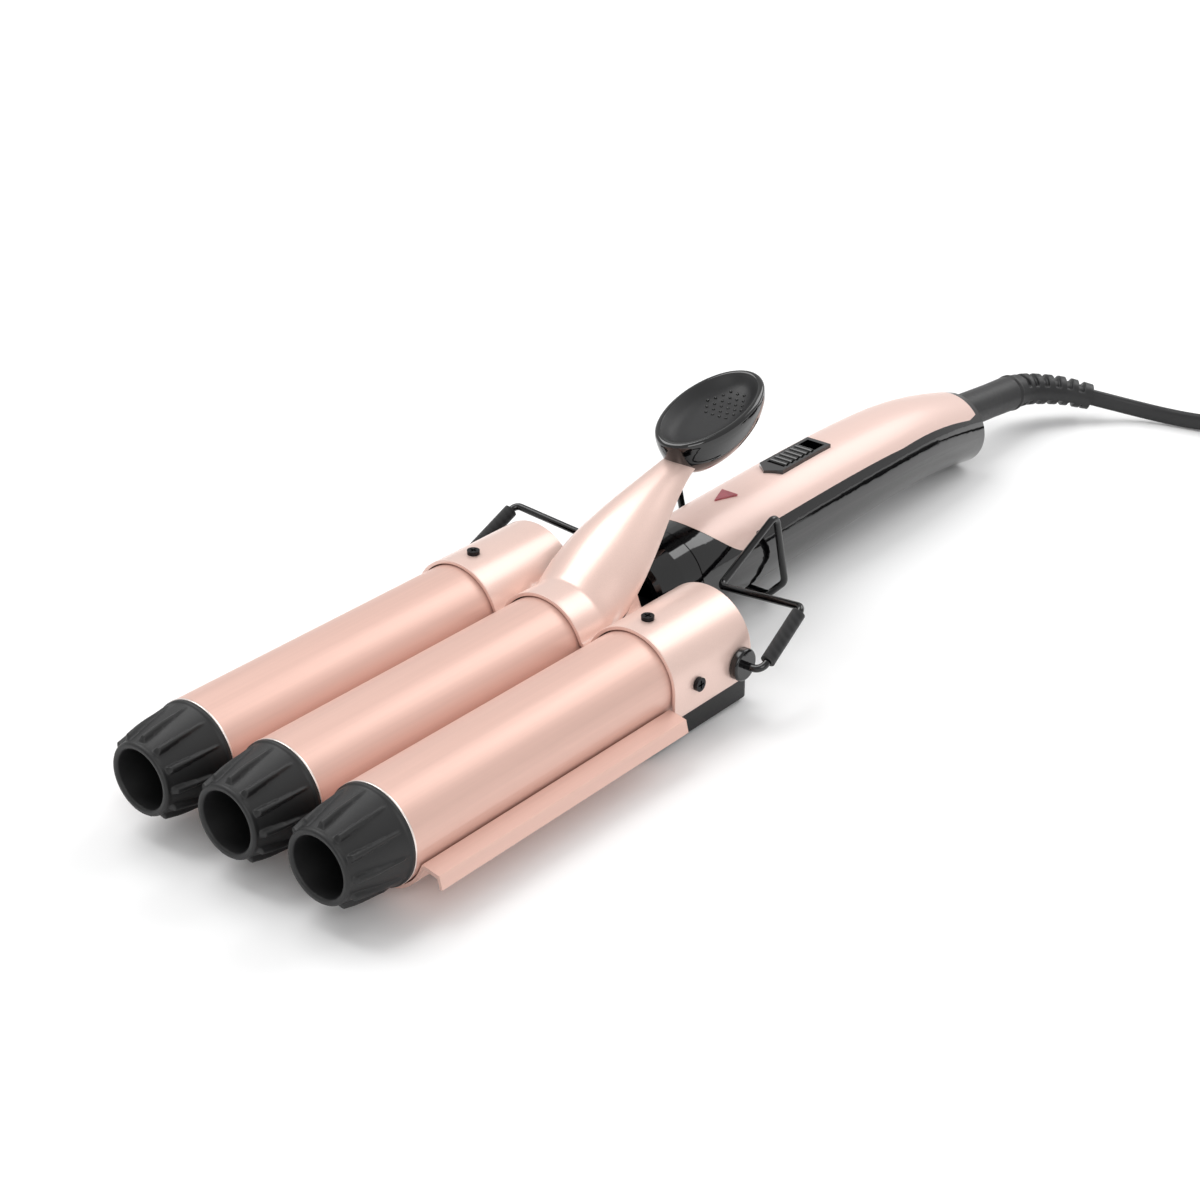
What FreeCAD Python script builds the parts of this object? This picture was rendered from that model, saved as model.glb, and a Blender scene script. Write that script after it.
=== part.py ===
import FreeCAD, Part
import math
import os

import Sketcher

# Three-barrel hair waver with a spring-closed lower plate, a fold-out wire stand and a swivelling lead.
# Frame: +Y runs from the barrels' mouths to the handle, +X to the right, +Z up.  The origin is on the
# table, under the front rim of the handle and between the two sides.  Millimetres.

V = FreeCAD.Vector
os.makedirs("parts", exist_ok=True)
doc = FreeCAD.newDocument("hair_waver")

# ---------------------------------------------------------------- driving dimensions
DIMENSIONS = [
    ("axis_height", 21.0, "barrel axes above the table"),
    ("barrel_diameter", 32.0, "outside of a heated barrel"),
    ("barrel_pitch", 36.0, "between neighbouring barrel axes"),
    ("barrel_wall", 1.2, "aluminium tube"),
    ("barrel_front", -188.0, "front edge of the tubes"),
    ("barrel_length", 134.0, "tube length"),
    ("cap_length", 22.1, "end cap in front of the tube"),
    ("cap_mouth_radius", 11.4, "outside of the cap at its mouth"),
    ("cap_bore_radius", 9.6, "open mouth of the cap"),
    ("cap_wall", 1.6, "cap moulding"),
    ("cap_rib_count", 12, "grip ribs round a cap"),
    ("cap_rib_angle", 9.0, "width of one rib, degrees"),
    ("sheet_gauge", 1.0, "pressed sheet of the cover and the trough plate"),
    ("cover_front", -74.5, "front edge of the saddle cover"),
    ("cover_length", 38.8, "saddle cover along the barrels"),
    ("cover_radius", 17.6, "outside of a hump of the saddle cover"),
    ("cover_skirt", 8.4, "skirt below the barrel axes"),
    ("rest_tilt", 15.0, "thumb rest, rear end up, degrees"),
    ("hinge_back", -41.8, "hinge axis along Y"),
    ("hinge_height", 19.1, "hinge axis above the table"),
    ("pin_radius", 3.0, "hinge pin"),
    ("pin_flange_radius", 5.4, "flange outside the skirt"),
    ("running_gap", 0.05, "radial clearance of what turns"),
    ("plate_front", -186.0, "front edge of the trough plate"),
    ("plate_length", 110.6, "trough plate along the barrels"),
    ("plate_gap", 0.5, "trough plate below the closed barrels"),
    ("base_front", -83.0, "front edge of the base housing"),
    ("base_rear", -30.5, "rear edge of the base housing"),
    ("base_width", 99.0, "base housing across"),
    ("neck_front", -30.4, "front of the neck cone"),
    ("neck_rear", -11.6, "groove between neck and handle"),
    ("handle_front", -10.6, "front rim of the handle shells"),
    ("handle_rear", 169.0, "rear end of the handle"),
    ("shell_wall", 2.0, "handle moulding"),
    ("switch_place", 62.0, "middle of the slide switch along Y"),
    ("switch_travel", 4.0, "off to on"),
    ("lens_place", 20.5, "middle of the indicator lens along Y"),
    ("swivel_height", 19.5, "swivel axis at the handle's rear end"),
    ("swivel_slope", 5.7, "swivel axis below level, degrees"),
    ("swivel_radius", 6.9, "smooth neck of the swivel"),
    ("wire_radius", 1.25, "stand wire"),
    ("sleeve_radius", 2.4, "heat sleeve on the stand wire"),
    ("flex_width", 6.6, "flat twin flex across"),
    ("flex_thickness", 3.3, "flat twin flex through"),
    ("coil_turn_radius", 36.1, "middle of the turns of the put-away coil"),
]
dims = doc.addObject("Spreadsheet::Sheet", "dims")
for row, (alias, value, note) in enumerate(DIMENSIONS, start=1):
    dims.set(f"A{row}", alias)
    dims.set(f"B{row}", str(value))
    dims.set(f"C{row}", note)
    dims.setAlias(f"B{row}", alias)
doc.recompute()


def dim(alias):
    """A driving dimension as a number."""
    return float(dims.get(alias))


AXIS_Z = dim("axis_height")
PITCH = dim("barrel_pitch")
BARREL_R = dim("barrel_diameter") / 2
SHEET = dim("sheet_gauge")
GAP = dim("running_gap")
HINGE = V(0, dim("hinge_back"), dim("hinge_height"))
SIDES = {"left": -1, "right": 1}
PLACES = {"left": -PITCH, "middle": 0.0, "right": PITCH}
ALONG_X = FreeCAD.Rotation(V(0, 1, 0), 90)
ALONG_Y = FreeCAD.Rotation(V(1, 0, 0), -90)
UP = FreeCAD.Rotation()
nodes = {}


# ---------------------------------------------------------------- helpers
def keep(obj, label):
    """Registers a sub-part of the waver under its own name."""
    obj.Label = label
    nodes[label] = obj
    return obj


def feature(label, shape):
    """A sub-part whose shape is made with Part's own functions."""
    obj = doc.addObject("Part::Feature", label)
    obj.Shape = shape
    return keep(obj, label)


def primitive(kind, name, where, turn=UP, **sizes):
    """A Part primitive whose sizes are bound to the sheet by expressions."""
    obj = doc.addObject(kind, name)
    for prop, expression in sizes.items():
        obj.setExpression(prop, str(expression))
    obj.Placement = FreeCAD.Placement(where, turn)
    return obj


def boolean(kind, name, base, tool):
    obj = doc.addObject(kind, name)
    obj.Base, obj.Tool = base, tool
    return obj


def plane(body, role):
    return next(f for f in body.Origin.OriginFeatures if f.Role == role)


def outline(body, name, role, corners):
    """A closed sketch of straight sides; every corner's two coordinates are bound to the sheet."""
    sketch = body.newObject("Sketcher::SketchObject", name)
    sketch.AttachmentSupport = [(plane(body, role), "")]
    sketch.MapMode = "FlatFace"
    spots = [V(*(float(sketch.evalExpression(c)) for c in corner), 0) for corner in corners]
    for i, spot in enumerate(spots):
        sketch.addGeometry(Part.LineSegment(spot, spots[(i + 1) % len(spots)]))
    for i in range(len(spots)):
        sketch.addConstraint(Sketcher.Constraint("Coincident", i, 2, (i + 1) % len(spots), 1))
    for i, corner in enumerate(corners):
        for kind, value, expression in zip(("DistanceX", "DistanceY"), spots[i], corner):
            number = sketch.addConstraint(Sketcher.Constraint(kind, i, 1, value))
            sketch.setExpression(f"Constraints[{number}]", expression)
    return sketch


def ring(body, name, role, outer, inner):
    """A sketch of two circles about the origin, with their radii bound to the sheet."""
    sketch = body.newObject("Sketcher::SketchObject", name)
    sketch.AttachmentSupport = [(plane(body, role), "")]
    sketch.MapMode = "FlatFace"
    for i, expression in enumerate((outer, inner)):
        radius = float(sketch.evalExpression(expression))
        sketch.addGeometry(Part.Circle(V(), V(0, 0, 1), radius))
        sketch.addConstraint(Sketcher.Constraint("Coincident", i, 3, -1, 1))
        number = sketch.addConstraint(Sketcher.Constraint("Radius", i, radius))
        sketch.setExpression(f"Constraints[{number}]", expression)
    return sketch


def revolved(label, corners, where, turn=UP):
    """A body turned about its own Y axis from (along Y, radius) corners."""
    body = keep(doc.addObject("PartDesign::Body", label), label)
    sketch = outline(body, f"{label}_profile", "YZ_Plane", corners)
    turned = body.newObject("PartDesign::Revolution", f"{label}_turned")
    turned.Profile = sketch
    turned.ReferenceAxis = (sketch, ["H_Axis"])
    turned.Angle = 360
    body.Placement = FreeCAD.Placement(where, turn)
    return body


def arch(y, half, crest, drop, inset=0.0, skirt=0.0):
    """One station of the thumb lever: an arc over straight skirts, closed below."""
    round_r = (half**2 + drop**2) / (2 * drop)
    low = crest - drop
    reach = math.sqrt((round_r - inset)**2 - (low - crest + round_r)**2)
    left, right = V(-reach, y, low), V(reach, y, low)
    edges = [Part.Arc(left, V(0, y, crest - inset), right).toShape()]
    below = V(0, 0, -skirt)
    corners = [right, right + below, left + below, left] if skirt else [right, left]
    edges += [Part.LineSegment(a, b).toShape() for a, b in zip(corners, corners[1:])]
    return Part.Wire(edges)


def tube(points, radius):
    """A round bar along straight runs with square mitres rounded by arcs of 1.6 radii."""
    path = rounded(points, [1.6 * radius] * (len(points) - 2))
    return swept(path, Part.Circle(points[0], points[1] - points[0], radius).toShape())


def rounded(points, radii):
    """Straight runs joined by tangent arcs of the given radii."""
    edges, start = [], points[0]
    for i, radius in enumerate(radii, start=1):
        into = (points[i] - points[i - 1]).normalize()
        out = (points[i + 1] - points[i]).normalize()
        turn = into.getAngle(out)
        back = radius * math.tan(turn / 2)
        first, last = points[i] - into * back, points[i] + out * back
        inward = (out - into).normalize()
        middle = points[i] + inward * (radius / math.cos(turn / 2) - radius)
        edges.append(Part.LineSegment(start, first).toShape())
        edges.append(Part.Arc(first, middle, last).toShape())
        start = last
    edges.append(Part.LineSegment(start, points[-1]).toShape())
    return Part.Wire(edges)


def swept(path, section):
    return path.makePipeShell([Part.Wire([section])], True, True)


def ellipse(centre, half_x, half_other, normal):
    """A closed elliptical wire; half_x lies along X."""
    edge = Part.Ellipse(V(), max(half_x, half_other), min(half_x, half_other)).toShape()
    if half_x < half_other:
        edge.rotate(V(), V(0, 0, 1), 90)
    if normal == "Y":
        edge.rotate(V(), V(1, 0, 0), 90)
    edge.translate(centre)
    return Part.Wire([edge])


def box(low, high):
    size = high - low
    return Part.makeBox(size.x, size.y, size.z, low)


def rod(start, end, radius):
    """A plain cylinder from one point to another."""
    return Part.makeCylinder(radius, start.distanceToPoint(end), start, end - start)


# ---------------------------------------------------------------- heated barrels and their end caps
def barrel(place, x):
    label = f"barrel_{place}"
    body = keep(doc.addObject("PartDesign::Body", label), label)
    sketch = ring(body, f"{label}_section", "XZ_Plane",
                  "dims.barrel_diameter / 2", "dims.barrel_diameter / 2 - dims.barrel_wall")
    tube_pad = body.newObject("PartDesign::Pad", f"{label}_tube")
    tube_pad.Profile = sketch
    tube_pad.setExpression("Length", "dims.barrel_length")
    body.Placement = FreeCAD.Placement(V(x, dim("barrel_front") + dim("barrel_length"), AXIS_Z), UP)
    doc.recompute()
    return body


CAP_PROFILE = [
    ("0", "dims.cap_bore_radius - 2"),
    ("0", "dims.cap_bore_radius + 1"),
    ("8", "dims.cap_bore_radius + 1"),
    ("8", "dims.barrel_diameter / 2 - dims.barrel_wall"),
    ("0", "dims.barrel_diameter / 2 - dims.barrel_wall"),
    ("0", "dims.barrel_diameter / 2"),
    ("-dims.cap_length * 0.5", "dims.barrel_diameter / 2 - 1.9"),
    ("-dims.cap_length", "dims.cap_mouth_radius"),
    ("-dims.cap_length", "dims.cap_bore_radius"),
    ("-dims.cap_wall", "dims.cap_bore_radius"),
    ("-dims.cap_wall", "dims.cap_bore_radius - 2"),
]
RIB_PROFILE = [
    ("-0.8", "dims.barrel_diameter / 2 - 1"),
    ("-dims.cap_length * 0.5", "dims.barrel_diameter / 2 - 1.2"),
    ("-dims.cap_length + 2.4", "dims.cap_mouth_radius + 1.7"),
    ("-dims.cap_length + 1.4", "dims.cap_mouth_radius + 0.6"),
    ("-dims.cap_length + 1.4", "dims.cap_mouth_radius - 1"),
    ("-dims.cap_length * 0.5", "dims.barrel_diameter / 2 - 3"),
]


def end_cap(place, x):
    """A cone with an open mouth and a spigot in the tube, and grip ribs repeated round it."""
    body = revolved(f"end_cap_{place}", CAP_PROFILE, V(x, dim("barrel_front"), AXIS_Z))
    sketch = outline(body, f"cap_rib_{place}", "YZ_Plane", RIB_PROFILE)
    rib = body.newObject("PartDesign::Revolution", f"rib_{place}")
    rib.Profile = sketch
    rib.ReferenceAxis = (sketch, ["H_Axis"])
    rib.Midplane = True
    rib.setExpression("Angle", "dims.cap_rib_angle")
    doc.recompute()
    ribs = body.newObject("PartDesign::PolarPattern", f"ribs_{place}")
    ribs.Originals = [rib]
    ribs.Axis = (sketch, ["H_Axis"])
    ribs.Angle = 360
    ribs.setExpression("Occurrences", "dims.cap_rib_count")
    body.Tip = ribs


for place, x in PLACES.items():
    barrel(place, x)
    end_cap(place, x)

# ---------------------------------------------------------------- heaters inside the barrels
HEATER_LENGTH = 96.0
for place, x in PLACES.items():
    keep(primitive("Part::Box", f"heater_{place}", V(x - 9, dim("barrel_front") + 18, AXIS_Z - 4.5),
                   Length="18", Width=HEATER_LENGTH, Height="9"), f"heater_{place}")
keep(primitive("Part::Cylinder", "thermal_fuse", V(0, dim("barrel_front") + 60, AXIS_Z + 6.6), ALONG_Y,
               Radius="1.9", Height="11"), "thermal_fuse")


# ---------------------------------------------------------------- saddle cover and thumb lever
def wave(radius, lift, ends):
    """Arcs round the three barrels with round valleys between them; lift is where the arcs meet."""
    reach = math.sqrt(radius**2 - lift**2)
    rise = 1 if lift > 0 else -1
    edges, last = [], ends[0]
    for x in PLACES.values():
        left, right = V(x - reach, 0, AXIS_Z + lift), V(x + reach, 0, AXIS_Z + lift)
        if x == -PITCH:
            left = V(x - radius, 0, AXIS_Z)
            edges.append(Part.LineSegment(ends[0], left).toShape())
        else:
            dip = V((last.x + left.x) / 2, 0, AXIS_Z + lift - rise * (left.x - last.x) * 0.55)
            edges.append(Part.Arc(last, dip, left).toShape())
        if x == PITCH:
            right = V(x + radius, 0, AXIS_Z)
        top = V(x, 0, AXIS_Z + rise * radius)
        edges.append(Part.Arc(left, top, right).toShape())
        last = right
    edges.append(Part.LineSegment(last, ends[1]).toShape())
    return edges


def sheet_from(outer, inner, front, length):
    """A pressed sheet between two open outlines, drawn at Y 0 and pushed back along Y."""
    first, last = Part.Wire(outer), Part.Wire(inner)
    ends = [
        Part.LineSegment(outer[i].Vertexes[j].Point, inner[i].Vertexes[j].Point).toShape()
        for i, j in ((0, 0), (-1, -1))
    ]
    face = Part.Face(Part.Wire(Part.__sortEdges__([*first.Edges, *last.Edges, *ends])))
    face.translate(V(0, front, 0))
    return face.extrude(V(0, length, 0))


REST_SCREW = V(0, 1.0, 55.4)
REST_SCREW_REACH = 6.6
HUMP_SCREW_Y = -66.0
SKIRT_SCREW_Y = -63.3
SHANK_R = 1.25
DRILL_R = 1.3
NOTCH = (19.2, -47.0)
# stations of the lever: along Y, half width, crest above the table, crest to edges
LEVER_STATIONS = [
    (-61.0, 15.5, 39.2, 8.0),
    (-50.0, 15.8, 45.0, 11.5),
    (-36.5, 12.6, 51.2, 9.5),
    (-22.0, 8.4, 57.0, 6.5),
    (-6.0, 5.6, 62.4, 4.6),
    (4.0, 4.4, 65.0, 4.4),
]
LEVER_GAUGE = 1.4


def lever_outside():
    return Part.makeLoft([arch(*station) for station in LEVER_STATIONS], True, False)


def lever_hollow():
    """What is taken out of the lever from below, up to its closed tip."""
    stations = [(y - 2 if i == 0 else y, *rest) for i, (y, *rest) in enumerate(LEVER_STATIONS[:-1])]
    return Part.makeLoft([arch(*station, LEVER_GAUGE, 4.0) for station in stations], True, False)


def saddle_cover():
    outer_r, inner_r = dim("cover_radius"), dim("cover_radius") - SHEET
    low = AXIS_Z - dim("cover_skirt")
    edge = PITCH + outer_r
    outer = wave(outer_r, 6.0, (V(-edge, 0, low), V(edge, 0, low)))
    inner = wave(inner_r, 6.0 - SHEET, (V(-edge + SHEET, 0, low), V(edge - SHEET, 0, low)))
    sheet = sheet_from(outer, inner, dim("cover_front"), dim("cover_length"))
    notch = box(V(-NOTCH[0], NOTCH[1], AXIS_Z), V(NOTCH[0], 0, AXIS_Z + 40))
    sheet = sheet.cut(notch)
    for s in SIDES.values():
        hinge_hole = rod(V(s * 40, HINGE.y, HINGE.z), V(s * 60, HINGE.y, HINGE.z), dim("pin_radius") + GAP)
        sheet = sheet.cut(hinge_hole)
        hump = V(s * PITCH, HUMP_SCREW_Y, AXIS_Z)
        sheet = sheet.cut(rod(hump, hump + V(0, 0, 30), DRILL_R))
        sheet = sheet.cut(rod(V(s * 45, SKIRT_SCREW_Y, AXIS_Z), V(s * 60, SKIRT_SCREW_Y, AXIS_Z), DRILL_R))
    lever = lever_outside().cut(lever_hollow()).cut(
        Part.makeCylinder(inner_r, 200, V(0, -150, AXIS_Z), V(0, 1, 0)))
    lever = lever.cut(rod(REST_SCREW, REST_SCREW + V(0, 0, REST_SCREW_REACH), 1.1))
    return sheet.fuse(lever).removeSplitter()


feature("saddle_cover", saddle_cover())


# ---------------------------------------------------------------- thumb rest
# stations of the level hull: above the table, middle along Y, half length, half width
REST_STATIONS = [
    (74.0, 12.0, 22.6, 15.0),
    (71.5, 12.0, 23.2, 15.6),
    (66.0, 11.5, 21.4, 14.2),
    (61.0, 9.8, 16.6, 10.8),
    (57.5, 7.0, 10.0, 6.0),
]
DISH_STATIONS = [(74.2, 12.0, 20.6, 13.2), (71.0, 12.0, 17.5, 10.4), (69.4, 12.0, 12.0, 6.6)]
REST_MIDDLE = V(0, 12.0, 74.0)


def hull(stations):
    """A lofted form, tilted with its rear end up."""
    wires = [ellipse(V(0, y, z), half_width, half_length, "Z")
             for z, y, half_length, half_width in stations]
    solid = Part.makeLoft(wires, True, False)
    solid.rotate(REST_MIDDLE, V(1, 0, 0), dim("rest_tilt"))
    return solid


def thumb_rest():
    solid = hull(REST_STATIONS).cut(hull(DISH_STATIONS)).cut(lever_outside())
    return max(solid.Solids, key=lambda s: s.Volume)


def pan_screw(head, into, head_radius, shank_radius, length):
    """A screw whose head's outer face centre is at head; the shank points along into."""
    into = V(into).normalize()
    thick = head_radius * 0.6
    screw = rod(head, head + into * thick, head_radius).fuse(
        rod(head + into * thick, head + into * (thick + length), shank_radius))
    across = V(0, 0, 1).cross(into) if abs(into.z) < 0.9 else V(1, 0, 0)
    for slot_line in (across, into.cross(across)):
        half, deep = slot_line * head_radius * 0.62, into * head_radius * 0.35
        other = into.cross(slot_line) * head_radius * 0.14
        corners = [head - half - other, head + half - other, head + half + other, head - half + other]
        recess = Part.Face(Part.makePolygon([*corners, corners[0]])).extrude(deep)
        screw = screw.cut(recess)
    return screw


rest_screw = pan_screw(REST_SCREW, V(0, 0, 1), 2.0, 1.1, 5.4)
feature("thumb_rest_screw", rest_screw)
feature("thumb_rest", thumb_rest().cut(rod(REST_SCREW - V(0, 0, 2), REST_SCREW + V(0, 0, 1.2), 2.0)).cut(
    rod(REST_SCREW, REST_SCREW + V(0, 0, REST_SCREW_REACH), 1.1)))


# ---------------------------------------------------------------- barrel carrier and its screws
CARRIER_REAR = -50.5
PLUG_FRONT = -72.0
TUBE_REAR = dim("barrel_front") + dim("barrel_length")
BORE_R = BARREL_R - dim("barrel_wall")


def barrel_carrier():
    """Plugs that hold the tubes' rear ends, the plate that joins them and the two hinge cheeks."""
    inner = dim("cover_radius") - SHEET
    discs = [Part.makeCylinder(inner, CARRIER_REAR - TUBE_REAR, V(x, TUBE_REAR, AXIS_Z), V(0, 1, 0))
             for x in PLACES.values()]
    bar = box(V(-PITCH, TUBE_REAR, AXIS_Z - 9), V(PITCH, CARRIER_REAR, AXIS_Z + 1.5))
    plugs = [
        Part.makeCylinder(BORE_R - 0.02, TUBE_REAR - PLUG_FRONT, V(x, PLUG_FRONT, AXIS_Z), V(0, 1, 0)).cut(
            Part.makeCylinder(BORE_R - 3.2, TUBE_REAR - PLUG_FRONT, V(x, PLUG_FRONT, AXIS_Z), V(0, 1, 0)))
        for x in PLACES.values()
    ]
    cheeks = []
    for s in SIDES.values():
        low_x, high_x = sorted((s * 48.4, s * (PITCH + inner - 0.7)))
        cheeks.append(box(V(low_x, TUBE_REAR, AXIS_Z - 7.6), V(high_x, -36.4, AXIS_Z + 4.0)))
    solid = discs[0].fuse([*discs[1:], bar, *plugs, *cheeks])
    for x in PLACES.values():
        solid = solid.cut(Part.makeCylinder(6.0, 40, V(x, -70, AXIS_Z), V(0, 1, 0)))
    for s in SIDES.values():
        solid = solid.cut(rod(V(s * 46, HINGE.y, HINGE.z), V(s * 60, HINGE.y, HINGE.z),
                              dim("pin_radius") + GAP))
        hump = V(s * PITCH, HUMP_SCREW_Y, AXIS_Z)
        solid = solid.cut(rod(hump + V(0, 0, 8), hump + V(0, 0, 30), SHANK_R))
        solid = solid.cut(rod(V(s * 40, SKIRT_SCREW_Y, AXIS_Z), V(s * 60, SKIRT_SCREW_Y, AXIS_Z), SHANK_R))
    return solid


feature("barrel_carrier", barrel_carrier())
hump_screws, skirt_screws = [], []
for s in SIDES.values():
    hump_head = V(s * PITCH, HUMP_SCREW_Y, AXIS_Z + dim("cover_radius") + 1.3)
    hump_screws.append(pan_screw(hump_head, V(0, 0, -1), 2.1, SHANK_R, 5.5))
    skirt_head = V(s * (PITCH + dim("cover_radius") + 1.45), SKIRT_SCREW_Y, AXIS_Z)
    skirt_screws.append(pan_screw(skirt_head, V(-s, 0, 0), 2.3, SHANK_R, 5.5))
feature("hump_screws", Part.makeCompound(hump_screws))
feature("skirt_screws", Part.makeCompound(skirt_screws))
for label in ("barrel_left", "barrel_right"):
    drilled = nodes.pop(label)
    drilled.Label = f"{label}_tube"
    s = SIDES[label.split("_")[1]]
    holes = [
        rod(V(s * PITCH, HUMP_SCREW_Y, AXIS_Z + 10), V(s * PITCH, HUMP_SCREW_Y, AXIS_Z + 20), DRILL_R),
        rod(V(s * 45, SKIRT_SCREW_Y, AXIS_Z), V(s * 60, SKIRT_SCREW_Y, AXIS_Z), DRILL_R),
    ]
    drill = doc.addObject("Part::Feature", f"{label}_drill")
    drill.Shape = Part.makeCompound(holes)
    keep(boolean("Part::Cut", f"{label}_drilled", drilled, drill), label)


def lead(points):
    return tube([V(*p) for p in points], 0.8)


feature("heater_leads", Part.makeCompound([
    lead([(x + dx, dim("barrel_front") + 18 + HEATER_LENGTH, AXIS_Z + 1),
          (x + dx, -60, AXIS_Z + 1), (x + dx, CARRIER_REAR + 2.5, AXIS_Z)])
    for x in PLACES.values() for dx in (-2.2, 2.2)
]))


# ---------------------------------------------------------------- trough plate and its rivets
PLATE_R = BARREL_R + dim("plate_gap")
PLATE_EDGE_DROP = 6.2
RIVET_Y = -79.0
RIVET_R = 1.5


def trough_plate():
    """The pressed plate that the hair lies on: three troughs, with a hemmed lip along each side."""
    edge_z = AXIS_Z - PLATE_EDGE_DROP

    def reach_of(radius):
        return math.sqrt(radius**2 - PLATE_EDGE_DROP**2)

    def troughs(radius):
        reach = reach_of(radius)
        edges, last = [], None
        for x in PLACES.values():
            left, right = V(x - reach, 0, edge_z), V(x + reach, 0, edge_z)
            if last is not None:
                crown = V((last.x + left.x) / 2, 0, edge_z + (left.x - last.x) * 0.6)
                edges.append(Part.Arc(last, crown, left).toShape())
            edges.append(Part.Arc(left, V(x, 0, AXIS_Z - radius), right).toShape())
            last = right
        return edges

    plate = sheet_from(troughs(PLATE_R), troughs(PLATE_R + SHEET), dim("plate_front"), dim("plate_length"))
    lips = []
    for s in SIDES.values():
        foot_in, foot_out = (reach_of(radius) + PITCH for radius in (PLATE_R, PLATE_R + SHEET))
        corners = [(foot_in, edge_z), (foot_in + 0.9, edge_z + 1.8), (58.6, edge_z + 0.6),
                   (59.6, edge_z - 3.6), (58.6, edge_z - 3.8), (57.8, edge_z - 0.5),
                   (foot_out + 0.4, edge_z + 0.4), (foot_out, edge_z)]
        points = [V(s * x, dim("plate_front"), z) for x, z in corners]
        lips.append(Part.Face(Part.makePolygon([*points, points[0]])).extrude(V(0, dim("plate_length"), 0)))
    plate = plate.fuse(lips).removeSplitter()
    for x in PLACES.values():
        plate = plate.cut(rod(V(x, RIVET_Y, 0), V(x, RIVET_Y, AXIS_Z), RIVET_R))
    return plate


feature("trough_plate", trough_plate())
feature("plate_rivets", Part.makeCompound([
    rod(V(x, RIVET_Y, 0.8), V(x, RIVET_Y, AXIS_Z - PLATE_R - 0.15), RIVET_R) for x in PLACES.values()
]))


# ---------------------------------------------------------------- base housing, neck and hinge
LUG_IN, LUG_OUT = 41.0, 47.6
LUG_R = 5.6
SWEEP_R = 23.6
TRAY_REAR = -49.8


def base_housing():
    """The black tray under the hinge, open to the barrels above, with the two hinge lugs."""
    half = dim("base_width") / 2
    rear, front = dim("base_rear"), dim("base_front")
    block = box(V(-half, front, 0), V(half, rear, AXIS_Z - 10.4))
    block = block.makeFillet(3.0, [e for e in block.Edges if abs(e.BoundBox.ZMax - e.BoundBox.ZMin) > 5])
    bottom = [e for e in block.Edges if e.BoundBox.ZMax < 0.01 and e.Length > 20]
    block = block.makeChamfer(1.6, bottom)
    for x in PLACES.values():
        trough = Part.makeCylinder(PLATE_R + SHEET, TRAY_REAR - front, V(x, front, AXIS_Z), V(0, 1, 0))
        block = block.cut(trough).cut(rod(V(x, RIVET_Y, 0.8), V(x, RIVET_Y, AXIS_Z), RIVET_R))
    block = block.cut(box(V(-half, front, AXIS_Z - 13.2), V(half, front + 10.0, AXIS_Z)))
    block = block.cut(box(V(-38, TRAY_REAR + 1.8, 1.8), V(38, rear - 1.8, AXIS_Z - 12.2)))
    block = block.cut(box(V(-13, TRAY_REAR + 1.8, 1.8), V(13, rear - 1.8, AXIS_Z)))
    block = block.cut(box(V(26, TRAY_REAR + 1.8, 6.0), V(38, -38.0, AXIS_Z)))
    stand_path = Part.makeCylinder(SWEEP_R, 2 * half, V(-half, HINGE.y, HINGE.z), V(1, 0, 0))
    for s in SIDES.values():
        low_x, high_x = sorted((s * 20, s * half))
        corner = box(V(low_x, HINGE.y, 0), V(high_x, rear, AXIS_Z))
        block = block.cut(corner.cut(stand_path))
    lugs = []
    for s in SIDES.values():
        low_x, high_x = sorted((s * LUG_IN, s * LUG_OUT))
        stem = box(V(low_x, HINGE.y - LUG_R, 4), V(high_x, HINGE.y + LUG_R, HINGE.z))
        boss = rod(V(low_x, HINGE.y, HINGE.z), V(high_x, HINGE.y, HINGE.z), LUG_R)
        lugs.append(stem.fuse(boss).cut(
            rod(V(low_x, HINGE.y, HINGE.z), V(high_x, HINGE.y, HINGE.z), dim("pin_radius"))))
    neck_root = box(V(-9, rear - 1.8, 8.0), V(9, dim("neck_front") + 5, AXIS_Z - 2))
    neck_root = neck_root.cut(box(V(-7, rear - 1.8, 10.0), V(7, dim("neck_front") + 5, AXIS_Z - 4)))
    solid = block.fuse([*lugs, neck_root]).removeSplitter()
    return max(solid.Solids, key=lambda piece: piece.Volume)


feature("base_housing", base_housing())

NECK_AXIS_Z = AXIS_Z - 0.6
NECK_PROFILE = [
    ("0", "12.6"),
    ("1.2", "14.2"),
    ("(dims.neck_rear - dims.neck_front) * 0.6", "16"),
    ("dims.neck_rear - dims.neck_front", "16.8"),
    ("dims.neck_rear - dims.neck_front", "14.6"),
    ("dims.neck_rear - dims.neck_front + 6", "14.6"),
    ("dims.neck_rear - dims.neck_front + 6", "12.4"),
    ("5", "12.4"),
    ("5", "10.6"),
    ("0", "10.6"),
]


def neck_cone():
    """The cone between the base housing and the handle, with a spigot in the handle's front rim."""
    body = revolved("neck_cone", NECK_PROFILE, V(0, dim("neck_front"), NECK_AXIS_Z))
    doc.recompute()
    return body


neck = neck_cone()
nodes.pop("neck_cone")
neck.Label = "neck_cone_turned"
slot = doc.addObject("Part::Box", "neck_slot")
slot.Length, slot.Width, slot.Height = 18.04, 5.04, AXIS_Z - 9.96
slot.Placement.Base = V(-9.02, dim("neck_front") - 0.02, 7.98)
keep(boolean("Part::Cut", "neck_cut", neck, slot), "neck_cone")


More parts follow.
